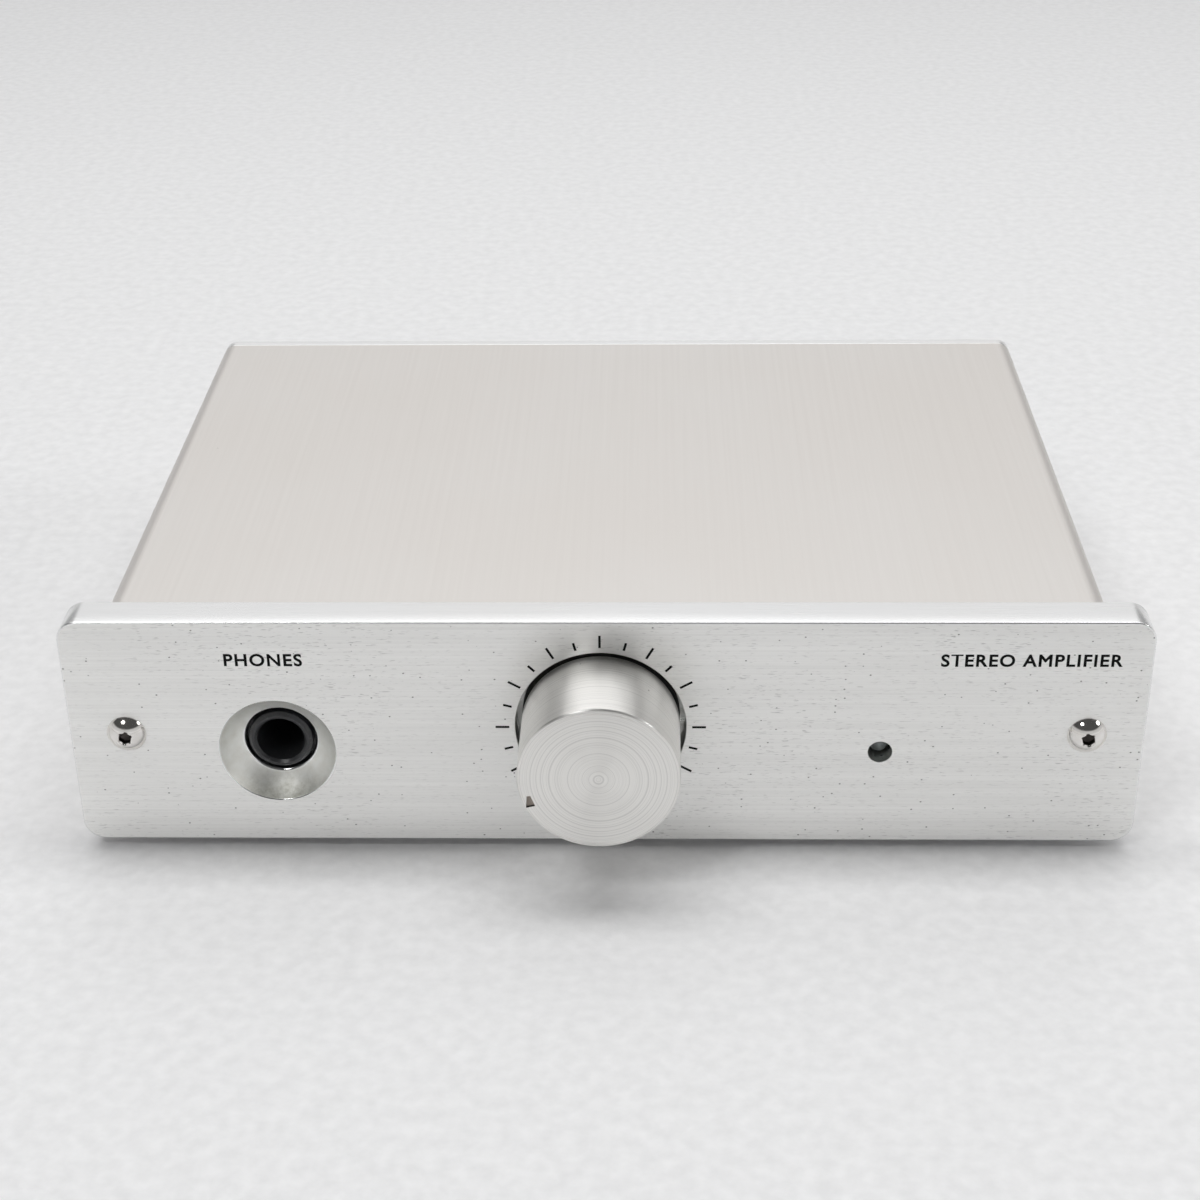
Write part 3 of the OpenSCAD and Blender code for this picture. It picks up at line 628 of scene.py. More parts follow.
def turned_aluminium(name, tint, roughness, ring_pitch, contrast, ring_relief):
    """Aluminium turned in a lathe: rings round the piece's own Y axis, on its face and round its side."""
    material, nodes, links = empty_material(name)

    coordinates = nodes.new("ShaderNodeTexCoord")
    coordinates.label = "Place on the piece"
    flatten = nodes.new("ShaderNodeVectorMath")
    flatten.label = "Leave out the distance along the axis"
    flatten.operation = "MULTIPLY"
    flatten.inputs[1].default_value = (1, 0, 1)
    radius = nodes.new("ShaderNodeVectorMath")
    radius.label = "Distance from the axis"
    radius.operation = "LENGTH"
    split = nodes.new("ShaderNodeSeparateXYZ")
    split.label = "Distance along the axis"
    along = nodes.new("ShaderNodeMath")
    along.label = "One track over face and side"
    along.operation = "ADD"
    pitch = nodes.new("ShaderNodeMath")
    pitch.label = "Rings to the metre"
    pitch.operation = "MULTIPLY"
    pitch.inputs[1].default_value = 1 / ring_pitch
    rings = nodes.new("ShaderNodeTexNoise")
    rings.label = "Turning rings"
    rings.noise_dimensions = "1D"
    rings.inputs["Scale"].default_value = 1.0
    rings.inputs["Detail"].default_value = 3.0
    rings.inputs["Roughness"].default_value = 0.7
    wide_pitch = nodes.new("ShaderNodeMath")
    wide_pitch.label = "Wider bands"
    wide_pitch.operation = "MULTIPLY"
    wide_pitch.inputs[1].default_value = 0.45 / ring_pitch
    bands = nodes.new("ShaderNodeTexNoise")
    bands.label = "Bands left by the tool"
    bands.noise_dimensions = "1D"
    bands.inputs["Scale"].default_value = 1.0
    bands.inputs["Detail"].default_value = 2.0
    ring_sum = nodes.new("ShaderNodeMath")
    ring_sum.label = "Rings and bands together"
    ring_sum.operation = "ADD"
    ring_colour = nodes.new("ShaderNodeValToRGB")
    ring_colour.label = "Light and dark rings"
    ring_colour.color_ramp.elements[0].position = 0.7
    ring_colour.color_ramp.elements[0].color = shade(tint, 1 - contrast)
    ring_colour.color_ramp.elements[1].position = 1.3
    ring_colour.color_ramp.elements[1].color = shade(tint, 1 + contrast)
    pit_cells = nodes.new("ShaderNodeTexVoronoi")
    pit_cells.label = "Tiny pits"
    pit_cells.inputs["Scale"].default_value = 420.0
    pit_cut = nodes.new("ShaderNodeMath")
    pit_cut.label = "Size of a pit"
    pit_cut.operation = "LESS_THAN"
    pit_cut.inputs[1].default_value = 0.055
    pit_split = nodes.new("ShaderNodeSeparateColor")
    pit_split.label = "One number for each pit"
    pit_pick = nodes.new("ShaderNodeMath")
    pit_pick.label = "Only a few pits"
    pit_pick.operation = "GREATER_THAN"
    pit_pick.inputs[1].default_value = 0.72
    pits = nodes.new("ShaderNodeMath")
    pits.label = "Pits"
    pits.operation = "MULTIPLY"
    pit_tint = nodes.new("ShaderNodeMix")
    pit_tint.label = "Darken the pits"
    pit_tint.data_type = "RGBA"
    pit_tint.inputs["B"].default_value = (0.3, 0.28, 0.26, 1)
    shine = nodes.new("ShaderNodeMapRange")
    shine.label = "The rings change the gloss"
    shine.inputs["From Min"].default_value = 0.7
    shine.inputs["From Max"].default_value = 1.3
    shine.inputs["To Min"].default_value = roughness + 0.05
    shine.inputs["To Max"].default_value = roughness - 0.05
    bump = nodes.new("ShaderNodeBump")
    bump.label = "Relief of the rings"
    bump.inputs["Strength"].default_value = ring_relief
    bump.inputs["Distance"].default_value = 0.02 * MM
    tangent = nodes.new("ShaderNodeTangent")
    tangent.label = "Grain runs round the axis"
    tangent.direction_type = "RADIAL"
    tangent.axis = "Y"
    shader = nodes.new("ShaderNodeBsdfPrincipled")
    shader.label = "Turned aluminium"
    shader.inputs["Metallic"].default_value = 1.0
    shader.inputs["Anisotropic"].default_value = 0.85
    shader.inputs["Anisotropic Rotation"].default_value = 0.25
    output = nodes.new("ShaderNodeOutputMaterial")
    output.label = "Surface"

    links.new(coordinates.outputs["Object"], flatten.inputs[0])
    links.new(flatten.outputs["Vector"], radius.inputs[0])
    links.new(coordinates.outputs["Object"], split.inputs["Vector"])
    links.new(radius.outputs["Value"], along.inputs[0])
    links.new(split.outputs["Y"], along.inputs[1])
    links.new(along.outputs["Value"], pitch.inputs[0])
    links.new(pitch.outputs["Value"], rings.inputs["W"])
    links.new(along.outputs["Value"], wide_pitch.inputs[0])
    links.new(wide_pitch.outputs["Value"], bands.inputs["W"])
    links.new(rings.outputs["Fac"], ring_sum.inputs[0])
    links.new(bands.outputs["Fac"], ring_sum.inputs[1])
    links.new(ring_sum.outputs["Value"], ring_colour.inputs["Fac"])
    links.new(coordinates.outputs["Object"], pit_cells.inputs["Vector"])
    links.new(pit_cells.outputs["Distance"], pit_cut.inputs[0])
    links.new(pit_cells.outputs["Color"], pit_split.inputs["Color"])
    links.new(pit_split.outputs["Red"], pit_pick.inputs[0])
    links.new(pit_cut.outputs["Value"], pits.inputs[0])
    links.new(pit_pick.outputs["Value"], pits.inputs[1])
    links.new(pits.outputs["Value"], pit_tint.inputs["Factor"])
    links.new(ring_colour.outputs["Color"], pit_tint.inputs["A"])
    links.new(pit_tint.outputs["Result"], shader.inputs["Base Color"])
    links.new(ring_sum.outputs["Value"], shine.inputs["Value"])
    links.new(shine.outputs["Result"], shader.inputs["Roughness"])
    links.new(ring_sum.outputs["Value"], bump.inputs["Height"])
    links.new(bump.outputs["Normal"], shader.inputs["Normal"])
    links.new(tangent.outputs["Tangent"], shader.inputs["Tangent"])
    links.new(shader.outputs["BSDF"], output.inputs["Surface"])

    ring_frame = nodes.new("NodeFrame")
    ring_frame.label = "Turning rings"
    for node in (flatten, radius, split, along, pitch, rings, wide_pitch, bands, ring_sum, ring_colour):
        node.parent = ring_frame
    pit_frame = nodes.new("NodeFrame")
    pit_frame.label = "Pits"
    for node in (pit_cells, pit_cut, pit_split, pit_pick, pits, pit_tint):
        node.parent = pit_frame
    relief_frame = nodes.new("NodeFrame")
    relief_frame.label = "Gloss and relief"
    for node in (shine, bump, tangent):
        node.parent = relief_frame
    columns = (
        (coordinates,), (flatten, split, pit_cells), (radius, along), (pitch, wide_pitch, pit_cut, pit_split),
        (rings, bands, pit_pick), (ring_sum, ring_colour, pits, pit_tint), (shine, bump, tangent), (shader,),
        (output,)
    )
    lay_out(columns)
    return material


def polished_metal(name, tint, roughness, wipe_relief, smudge=1.0, dust=0.06):
    """Smooth metal, bright or black: soft smudges, very fine wipe marks and dust where it faces up; a large
    dust value also paints shade on the faces that look up.
    """
    material, nodes, links = empty_material(name)

    coordinates = nodes.new("ShaderNodeTexCoord")
    coordinates.label = "Place on the piece"
    smudges = nodes.new("ShaderNodeTexNoise")
    smudges.label = "Smudges"
    smudges.inputs["Scale"].default_value = 700.0
    smudges.inputs["Detail"].default_value = 3.0
    smudge_gloss = nodes.new("ShaderNodeMapRange")
    smudge_gloss.label = "Smudges dull the shine"
    smudge_gloss.inputs["From Min"].default_value = 0.35
    smudge_gloss.inputs["From Max"].default_value = 0.75
    smudge_gloss.inputs["To Min"].default_value = roughness * (1 - 0.3 * smudge)
    smudge_gloss.inputs["To Max"].default_value = roughness * (1 + 0.8 * smudge)
    smudge_colour = nodes.new("ShaderNodeValToRGB")
    smudge_colour.label = "Smudges tone the metal"
    smudge_colour.color_ramp.elements[0].position = 0.3
    smudge_colour.color_ramp.elements[0].color = shade(tint, 1)
    smudge_colour.color_ramp.elements[1].position = 0.8
    smudge_colour.color_ramp.elements[1].color = (tint[0] * 0.9, tint[1] * 0.89, tint[2] * 0.87, 1)
    # With a large dust value, the darkening of the faces that look up is painted shade as well as dust.
    facing = nodes.new("ShaderNodeSeparateXYZ")
    facing.label = "How far the metal faces up"
    settling = nodes.new("ShaderNodeMapRange")
    settling.label = "Dust settles where the metal faces up"
    settling.interpolation_type = "SMOOTHSTEP"
    settling.inputs["From Min"].default_value = 0.35
    settling.inputs["From Max"].default_value = 0.95
    specks = nodes.new("ShaderNodeTexNoise")
    specks.label = "Specks of dust"
    specks.inputs["Scale"].default_value = 1500.0
    specks.inputs["Detail"].default_value = 4.0
    specks.inputs["Roughness"].default_value = 0.7
    speck_cut = nodes.new("ShaderNodeMapRange")
    speck_cut.label = "Thin film between the specks"
    speck_cut.inputs["From Min"].default_value = 0.4
    speck_cut.inputs["From Max"].default_value = 0.68
    speck_cut.inputs["To Min"].default_value = dust * 0.45
    speck_cut.inputs["To Max"].default_value = dust
    dust_amount = nodes.new("ShaderNodeMath")
    dust_amount.label = "Specks only where dust settles"
    dust_amount.operation = "MULTIPLY"
    dust_tint = nodes.new("ShaderNodeMix")
    dust_tint.label = "Dust over the metal"
    dust_tint.data_type = "RGBA"
    dust_tint.inputs["B"].default_value = (0.3, 0.3, 0.23, 1)
    wipe_stretch = nodes.new("ShaderNodeMapping")
    wipe_stretch.label = "Draw the wipe marks out"
    wipe_stretch.inputs["Rotation"].default_value = (0.3, 0.5, 0.2)
    wipe_stretch.inputs["Scale"].default_value = (600, 600, 9000)
    wipes = nodes.new("ShaderNodeTexNoise")
    wipes.label = "Wipe marks"
    wipes.inputs["Scale"].default_value = 1.0
    wipes.inputs["Detail"].default_value = 2.0
    bump = nodes.new("ShaderNodeBump")
    bump.label = "Relief of the wipe marks"
    bump.inputs["Strength"].default_value = wipe_relief
    bump.inputs["Distance"].default_value = 0.01 * MM
    shader = nodes.new("ShaderNodeBsdfPrincipled")
    shader.label = "Polished metal"
    shader.inputs["Metallic"].default_value = 1.0
    output = nodes.new("ShaderNodeOutputMaterial")
    output.label = "Surface"

    links.new(coordinates.outputs["Object"], smudges.inputs["Vector"])
    links.new(smudges.outputs["Fac"], smudge_gloss.inputs["Value"])
    links.new(smudge_gloss.outputs["Result"], shader.inputs["Roughness"])
    links.new(smudges.outputs["Fac"], smudge_colour.inputs["Fac"])
    links.new(coordinates.outputs["Normal"], facing.inputs["Vector"])
    links.new(facing.outputs["Z"], settling.inputs["Value"])
    links.new(coordinates.outputs["Object"], specks.inputs["Vector"])
    links.new(specks.outputs["Fac"], speck_cut.inputs["Value"])
    links.new(settling.outputs["Result"], dust_amount.inputs[0])
    links.new(speck_cut.outputs["Result"], dust_amount.inputs[1])
    links.new(dust_amount.outputs["Value"], dust_tint.inputs["Factor"])
    links.new(smudge_colour.outputs["Color"], dust_tint.inputs["A"])
    links.new(dust_tint.outputs["Result"], shader.inputs["Base Color"])
    links.new(coordinates.outputs["Object"], wipe_stretch.inputs["Vector"])
    links.new(wipe_stretch.outputs["Vector"], wipes.inputs["Vector"])
    links.new(wipes.outputs["Fac"], bump.inputs["Height"])
    links.new(bump.outputs["Normal"], shader.inputs["Normal"])
    links.new(shader.outputs["BSDF"], output.inputs["Surface"])

    smudge_frame = nodes.new("NodeFrame")
    smudge_frame.label = "Smudges"
    for node in (smudges, smudge_gloss, smudge_colour):
        node.parent = smudge_frame
    dust_frame = nodes.new("NodeFrame")
    dust_frame.label = "Settled dust"
    for node in (facing, settling, specks, speck_cut, dust_amount, dust_tint):
        node.parent = dust_frame
    wipe_frame = nodes.new("NodeFrame")
    wipe_frame.label = "Wipe marks"
    for node in (wipe_stretch, wipes, bump):
        node.parent = wipe_frame
    columns = (
        (coordinates,),
        (smudges, facing, specks, wipe_stretch),
        (smudge_gloss, smudge_colour, settling, speck_cut, wipes),
        (dust_amount, bump),
        (dust_tint,),
        (shader,),
        (output,),
    )
    lay_out(columns)
    return material


def moulded_plastic(name, tint, roughness, grain_size, grain_relief, dust, mirror=0.5):
    """Plastic, rubber, lacquer or ink: a fine surface grain, a slow change of tone and pale dust."""
    material, nodes, links = empty_material(name)

    coordinates = nodes.new("ShaderNodeTexCoord")
    coordinates.label = "Place on the piece"
    tone = nodes.new("ShaderNodeTexNoise")
    tone.label = "Slow change of tone"
    tone.inputs["Scale"].default_value = 160.0
    tone.inputs["Detail"].default_value = 2.0
    tone_colour = nodes.new("ShaderNodeValToRGB")
    tone_colour.label = "Darker and lighter plastic"
    tone_colour.color_ramp.elements[0].position = 0.3
    tone_colour.color_ramp.elements[0].color = shade(tint, 0.82)
    tone_colour.color_ramp.elements[1].position = 0.7
    tone_colour.color_ramp.elements[1].color = shade(tint, 1.12)
    dust_noise = nodes.new("ShaderNodeTexNoise")
    dust_noise.label = "Dust"
    dust_noise.inputs["Scale"].default_value = 2600.0
    dust_noise.inputs["Detail"].default_value = 1.0
    dust_cut = nodes.new("ShaderNodeMapRange")
    dust_cut.label = "Only the larger grains of dust"
    dust_cut.inputs["From Min"].default_value = 0.66
    dust_cut.inputs["From Max"].default_value = 0.76
    dust_cut.inputs["To Min"].default_value = 0.0
    dust_cut.inputs["To Max"].default_value = dust
    dust_tint = nodes.new("ShaderNodeMix")
    dust_tint.label = "Pale dust on the plastic"
    dust_tint.data_type = "RGBA"
    dust_tint.inputs["B"].default_value = (0.5, 0.49, 0.47, 1)
    grain = nodes.new("ShaderNodeTexNoise")
    grain.label = "Grain of the mould"
    grain.inputs["Scale"].default_value = 1 / grain_size
    grain.inputs["Detail"].default_value = 2.0
    gloss = nodes.new("ShaderNodeMapRange")
    gloss.label = "The grain changes the gloss"
    gloss.inputs["From Min"].default_value = 0.3
    gloss.inputs["From Max"].default_value = 0.7
    gloss.inputs["To Min"].default_value = roughness * 0.85
    gloss.inputs["To Max"].default_value = roughness * 1.15
    bump = nodes.new("ShaderNodeBump")
    bump.label = "Relief of the grain"
    bump.inputs["Strength"].default_value = grain_relief
    bump.inputs["Distance"].default_value = 0.02 * MM
    shader = nodes.new("ShaderNodeBsdfPrincipled")
    shader.label = "Plastic"
    shader.inputs["Specular IOR Level"].default_value = mirror
    output = nodes.new("ShaderNodeOutputMaterial")
    output.label = "Surface"

    links.new(coordinates.outputs["Object"], tone.inputs["Vector"])
    links.new(tone.outputs["Fac"], tone_colour.inputs["Fac"])
    links.new(coordinates.outputs["Object"], dust_noise.inputs["Vector"])
    links.new(dust_noise.outputs["Fac"], dust_cut.inputs["Value"])
    links.new(dust_cut.outputs["Result"], dust_tint.inputs["Factor"])
    links.new(tone_colour.outputs["Color"], dust_tint.inputs["A"])
    links.new(dust_tint.outputs["Result"], shader.inputs["Base Color"])
    links.new(coordinates.outputs["Object"], grain.inputs["Vector"])
    links.new(grain.outputs["Fac"], gloss.inputs["Value"])
    links.new(gloss.outputs["Result"], shader.inputs["Roughness"])
    links.new(grain.outputs["Fac"], bump.inputs["Height"])
    links.new(bump.outputs["Normal"], shader.inputs["Normal"])
    links.new(shader.outputs["BSDF"], output.inputs["Surface"])

    tone_frame = nodes.new("NodeFrame")
    tone_frame.label = "Tone and dust"
    for node in (tone, tone_colour, dust_noise, dust_cut, dust_tint):
        node.parent = tone_frame
    grain_frame = nodes.new("NodeFrame")
    grain_frame.label = "Grain"
    for node in (grain, gloss, bump):
        node.parent = grain_frame
    columns = (
        (coordinates,),
        (tone, dust_noise, grain),
        (tone_colour, dust_cut, gloss),
        (dust_tint, bump),
        (shader,),
        (output,),
    )
    lay_out(columns)
    return material


def smoked_lens(name, tint, roughness):
    """Smoked resin of an unlit lamp: mostly dark, a little clear, with faint flow marks and dust."""
    material, nodes, links = empty_material(name)

    coordinates = nodes.new("ShaderNodeTexCoord")
    coordinates.label = "Place on the lens"
    flow = nodes.new("ShaderNodeTexNoise")
    flow.label = "Flow marks in the resin"
    flow.inputs["Scale"].default_value = 900.0
    flow.inputs["Detail"].default_value = 2.0
    flow_colour = nodes.new("ShaderNodeValToRGB")
    flow_colour.label = "Darker and clearer resin"
    flow_colour.color_ramp.elements[0].position = 0.3
    flow_colour.color_ramp.elements[0].color = shade(tint, 0.7)
    flow_colour.color_ramp.elements[1].position = 0.7
    flow_colour.color_ramp.elements[1].color = shade(tint, 1.3)
    gloss = nodes.new("ShaderNodeMapRange")
    gloss.label = "Marks dull the gloss a little"
    gloss.inputs["To Min"].default_value = roughness * 0.6
    gloss.inputs["To Max"].default_value = roughness * 1.6
    bump = nodes.new("ShaderNodeBump")
    bump.label = "Relief of the flow marks"
    bump.inputs["Strength"].default_value = 0.08
    bump.inputs["Distance"].default_value = 0.01 * MM
    shader = nodes.new("ShaderNodeBsdfPrincipled")
    shader.label = "Smoked resin"
    shader.inputs["Transmission Weight"].default_value = 0.35
    shader.inputs["IOR"].default_value = 1.52
    output = nodes.new("ShaderNodeOutputMaterial")
    output.label = "Surface"

    links.new(coordinates.outputs["Object"], flow.inputs["Vector"])
    links.new(flow.outputs["Fac"], flow_colour.inputs["Fac"])
    links.new(flow_colour.outputs["Color"], shader.inputs["Base Color"])
    links.new(flow.outputs["Fac"], gloss.inputs["Value"])
    links.new(gloss.outputs["Result"], shader.inputs["Roughness"])
    links.new(flow.outputs["Fac"], bump.inputs["Height"])
    links.new(bump.outputs["Normal"], shader.inputs["Normal"])
    links.new(shader.outputs["BSDF"], output.inputs["Surface"])

    flow_frame = nodes.new("NodeFrame")
    flow_frame.label = "Flow marks"
    for node in (flow, flow_colour, gloss, bump):
        node.parent = flow_frame
    columns = ((coordinates,), (flow,), (flow_colour, gloss, bump), (shader,), (output,))
    lay_out(columns)
    return material


# ---- finishes ----

plate_face = brushed_aluminium("plate_face", (0.93, 0.927, 0.91), 0.45, 0.38, 0.85)
plate_edge = drawn_aluminium("plate_edge", (0.89, 0.892, 0.895), 0.24, (60, 3200, 3200), "Z", 0.03, 0.06)
cut_metal = polished_metal("cut_metal", (0.74, 0.75, 0.73), 0.36, 0.05)
# The large dust value darkens the dish's upward-facing lower wall with a greenish grey: settled dust and
# painted shade together.
dish_metal = polished_metal("dish_metal", (0.97, 0.975, 0.945), 0.5, 0.05, smudge=0.2, dust=0.7)
rim_metal = polished_metal("rim_metal", (0.85, 0.86, 0.87), 0.13, 0.05)
case_metal = drawn_aluminium("case_metal", (0.752, 0.727, 0.702), 0.42, (1500, 18, 1500), "X", 0.01, 0.05)
panel_face = brushed_aluminium("panel_face", (0.79, 0.79, 0.78), 0.4, 0.4, 0.6)
knob_metal = turned_aluminium("knob_metal", (0.765, 0.755, 0.732), 0.36, 0.13 * MM, 0.11, 0.3)
pointer_paint = moulded_plastic("pointer_paint", (0.42, 0.36, 0.31), 0.6, 0.05 * MM, 0.3, 0.3)
# Near-black paint that stands in for shade: the knob's side inside the pocket and the walls of the pointer
# notch take it as painted shade.
painted_shade_black = moulded_plastic("painted_shade_black", (0.02, 0.018, 0.016), 0.6, 0.05 * MM, 0.3, 0.1)
screw_metal = polished_metal("screw_metal", (0.84, 0.82, 0.8), 0.08, 0.1)
# Dark metal that paints the shade inside the screws' hexagon sockets.
painted_shade_recess = polished_metal("painted_shade_recess", (0.1, 0.09, 0.085), 0.35, 0.2)
black_steel = polished_metal("black_steel", (0.05, 0.05, 0.055), 0.35, 0.3)
plated_metal = polished_metal("plated_metal", (0.72, 0.72, 0.7), 0.2, 0.2)
brass_metal = polished_metal("brass_metal", (0.83, 0.62, 0.3), 0.18, 0.2)
lever_chrome = polished_metal("lever_chrome", (0.82, 0.82, 0.83), 0.08, 0.1)
heatsink_black = polished_metal("heatsink_black", (0.045, 0.045, 0.05), 0.5, 0.4)
foot_rubber = moulded_plastic("foot_rubber", (0.02, 0.02, 0.02), 0.75, 0.08 * MM, 0.5, 0.25)
socket_black = moulded_plastic("socket_black", (0.03, 0.031, 0.034), 0.32, 0.1 * MM, 0.16, 0.12)
inlet_black = moulded_plastic("inlet_black", (0.015, 0.015, 0.015), 0.4, 0.12 * MM, 0.25, 0.12)
white_plastic = moulded_plastic("white_plastic", (0.78, 0.77, 0.73), 0.35, 0.12 * MM, 0.15, 0.1)
red_plastic = moulded_plastic("red_plastic", (0.52, 0.02, 0.015), 0.35, 0.12 * MM, 0.15, 0.1)
control_plastic = moulded_plastic("control_plastic", (0.05, 0.085, 0.16), 0.45, 0.12 * MM, 0.2, 0.1)
switch_plastic = moulded_plastic("switch_plastic", (0.02, 0.05, 0.2), 0.4, 0.12 * MM, 0.2, 0.1)
board_green = moulded_plastic("board_green", (0.01, 0.075, 0.03), 0.3, 0.3 * MM, 0.25, 0.08)
can_sleeve = moulded_plastic("can_sleeve", (0.015, 0.015, 0.022), 0.3, 0.25 * MM, 0.1, 0.06)
film_case = moulded_plastic("film_case", (0.45, 0.03, 0.02), 0.4, 0.2 * MM, 0.15, 0.06)
resistor_coat = moulded_plastic("resistor_coat", (0.12, 0.24, 0.36), 0.35, 0.2 * MM, 0.2, 0.05)
package_black = moulded_plastic("package_black", (0.012, 0.012, 0.012), 0.5, 0.1 * MM, 0.4, 0.08)
pale_wire = moulded_plastic("pale_wire", (0.68, 0.67, 0.62), 0.45, 0.1 * MM, 0.15, 0.05)
red_wire = moulded_plastic("red_wire", (0.4, 0.02, 0.015), 0.45, 0.1 * MM, 0.15, 0.05)
lens_smoke = smoked_lens("lens_smoke", (0.26, 0.29, 0.29), 0.16)
mark_ink = moulded_plastic("mark_ink", (0.004, 0.004, 0.004), 0.7, 0.05 * MM, 0.3, 0.02, mirror=0.12)

# CAD pieces that keep their shape take these finishes.
KEPT = {
    "top_shell": case_metal, "base_shell": case_metal,
    "knob_set_screw": black_steel, "pot_shaft": plated_metal, "pot_bushing": brass_metal,
    "pot_washer": plated_metal, "pot_nut": plated_metal, "pot_body": control_plastic,
    "pot_pins": plated_metal,
    "jack_housing": socket_black, "jack_contacts": plated_metal,
    "led_leads": plated_metal, "led_holder": socket_black,
    "circuit_board": board_green, "capacitors": can_sleeve, "film_capacitors": film_case,
    "resistors": resistor_coat, "small_transistors": package_black, "output_transistors": package_black,
    "heatsinks": heatsink_black, "regulators": package_black,
    "input_nuts": brass_metal, "dc_inlet_pin": plated_metal, "dc_inlet_nut": plated_metal,
    "switch_body": switch_plastic, "switch_lever": lever_chrome,
    "input_wires": pale_wire, "power_wires": red_wire,
}
for node_name, finish in KEPT.items():
    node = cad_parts[node_name]
    for slot_index in range(len(node.material_slots)):
        node.material_slots[slot_index].material = finish


# ---- front plate ----

def socket_dish(face_radius, rim_radius, depth):
    """The dish round the headphone socket, part of a sphere, as (radius, depth) pairs from the face in."""
    centre = (face_radius ** 2 - rim_radius ** 2 - depth ** 2) / (2 * depth)
    sphere = math.hypot(face_radius, centre)
    count = 20
    depths = [depth * i / count for i in range(count + 1)]
    return [(math.sqrt(sphere ** 2 - (centre + inwards) ** 2), inwards) for inwards in depths]


def drilled(radius, depth, edge):
    """A plain hole with a small softened edge at the face."""
    start = [(radius + edge * (1 - math.sin(a)), edge * (1 - math.cos(a))) for a in arc(3, 0, 90)]
    return start + [(radius, depth)]


def front_plate():
    """The milled plate with its knob pocket, its dish round the socket, its lamp hole and its screw holes."""
    # Places in the list of the plate's materials.
    cut, rim_cut, dish_cut = 2, 3, 4
    shaft_hole_r = 3.6 * MM
    lamp_hole_r = 1.7 * MM
    pocket = drilled(KNOB_POCKET_R, KNOB_POCKET_DEPTH, 0.12 * MM)
    pocket += [(shaft_hole_r, KNOB_POCKET_DEPTH), (shaft_hole_r, PLATE_T)]
    bright_edge = [(DISH_R, 0, rim_cut), (DISH_R - 0.05 * MM, 0.03 * MM, rim_cut)]
    sphere = socket_dish(DISH_R - 0.1 * MM, 5.41 * MM, 3.03 * MM)
    bowl = [(radius, depth + 0.07 * MM, dish_cut) for radius, depth in sphere]
    rim = [(5.36 * MM, 3.12 * MM, rim_cut), (5.2 * MM, 3.22 * MM), (5.07 * MM, 3.42 * MM)]
    rim += [(JACK_HOLE_R, 3.7 * MM), (JACK_HOLE_R, PLATE_T)]
    holes = [
        (KNOB_X, KNOB_Z, cut, pocket),
        (JACK_X, JACK_Z, cut, bright_edge + bowl + rim),
        (LAMP_X, LAMP_Z, cut, drilled(lamp_hole_r, PLATE_T, 0.08 * MM)),
    ]
    for side in SCREW_SIDES:
        holes.append((side * SCREW_X, MID_Z, cut, drilled(SCREW_HOLE_R, PLATE_T, 0.05 * MM)))
    bm = bmesh.new()
    milled_plate(bm, rounded_outline(PLATE_W, PLATE_H, 3 * MM), PLATE_FACE, PLATE_BACK, 0.22 * MM, holes)
    finish_piece("front_plate_milled", bm, [plate_face, plate_edge, cut_metal, rim_metal, dish_metal],
                 "chassis", ("front_plate",))


def dial_marks():
    """Printed marks round the knob, one every 15 degrees, longer every 30."""
    bm = bmesh.new()
    ink = 0.015 * MM
    inner = 12.9 * MM
    half = 0.17 * MM
    for angle in range(-150, 151, 15):
        outer = (14.85 if angle % 30 == 0 else 14.15) * MM
        turn = math.radians(angle)
        corners = []
        for across, along in ((-half, inner), (half, inner), (half, outer), (-half, outer)):
            corners.append((KNOB_X + across * math.cos(turn) + along * math.sin(turn),
                            KNOB_Z - across * math.sin(turn) + along * math.cos(turn)))
        top = add_loop(bm, corners, PLATE_FACE - ink)
        bottom = add_loop(bm, corners, PLATE_FACE + ink)
        bridge(bm, top, bottom)
        bm.faces.new(top)
        bm.faces.new(list(reversed(bottom)))
    finish_piece("dial_marks", bm, [mark_ink], "chassis")


def bolder(bm, amount):
    """Grows flat lettering outwards all round its outlines."""
    moves = []
    for vert in bm.verts:
        sides = []
        for edge in vert.link_edges:
            if edge.is_boundary:
                side = Vector((0, 0, 1)).cross(edge.verts[1].co - edge.verts[0].co).normalized()
                inwards = edge.link_faces[0].calc_center_median() - edge.verts[0].co
                sides.append(-side if side.dot(inwards) > 0 else side)
        if len(sides) == 2 and (sides[0] + sides[1]).length > 0.1:
            middle = (sides[0] + sides[1]).normalized()
            moves.append((vert, middle * amount / max(0.5, middle.dot(sides[0]))))
    for vert, move in moves:
        vert.co += move


def printed_word(name, word, x, align):
    """A plain word printed on the plate. Its baseline starts, ends or is centred at x."""
    capital_height = 1.95 * MM
    capital_share = 0.73
    stroke_growth = 0.07 * MM
    ink = 0.012 * MM
    curve = bpy.data.curves.new(name, "FONT")
    curve.body = word
    curve.align_x = align
    curve.size = capital_height / capital_share
    curve.space_character = 1.14
    curve.resolution_u = 6
    text = bpy.data.objects.new(name + "_outline", curve)
    bpy.context.scene.collection.objects.link(text)
    depsgraph = bpy.context.evaluated_depsgraph_get()
    mesh = bpy.data.meshes.new_from_object(text.evaluated_get(depsgraph))
    bpy.data.objects.remove(text)
    bm = bmesh.new()
    bm.from_mesh(mesh)
    bpy.data.meshes.remove(mesh)
    bmesh.ops.remove_doubles(bm, verts=bm.verts, dist=0.0001 * MM)
    bolder(bm, stroke_growth)
    bmesh.ops.translate(bm, vec=(0, 0, -ink), verts=bm.verts)
    raised = bmesh.ops.extrude_face_region(bm, geom=bm.faces[:])
    raised_verts = [part for part in raised["geom"] if isinstance(part, bmesh.types.BMVert)]
    bmesh.ops.translate(bm, vec=(0, 0, 2 * ink), verts=raised_verts)
    bmesh.ops.transform(bm, matrix=forward_axis(x, PLATE_FACE, WORD_BASE), verts=bm.verts)
    finish_piece(name, bm, [mark_ink], "chassis")


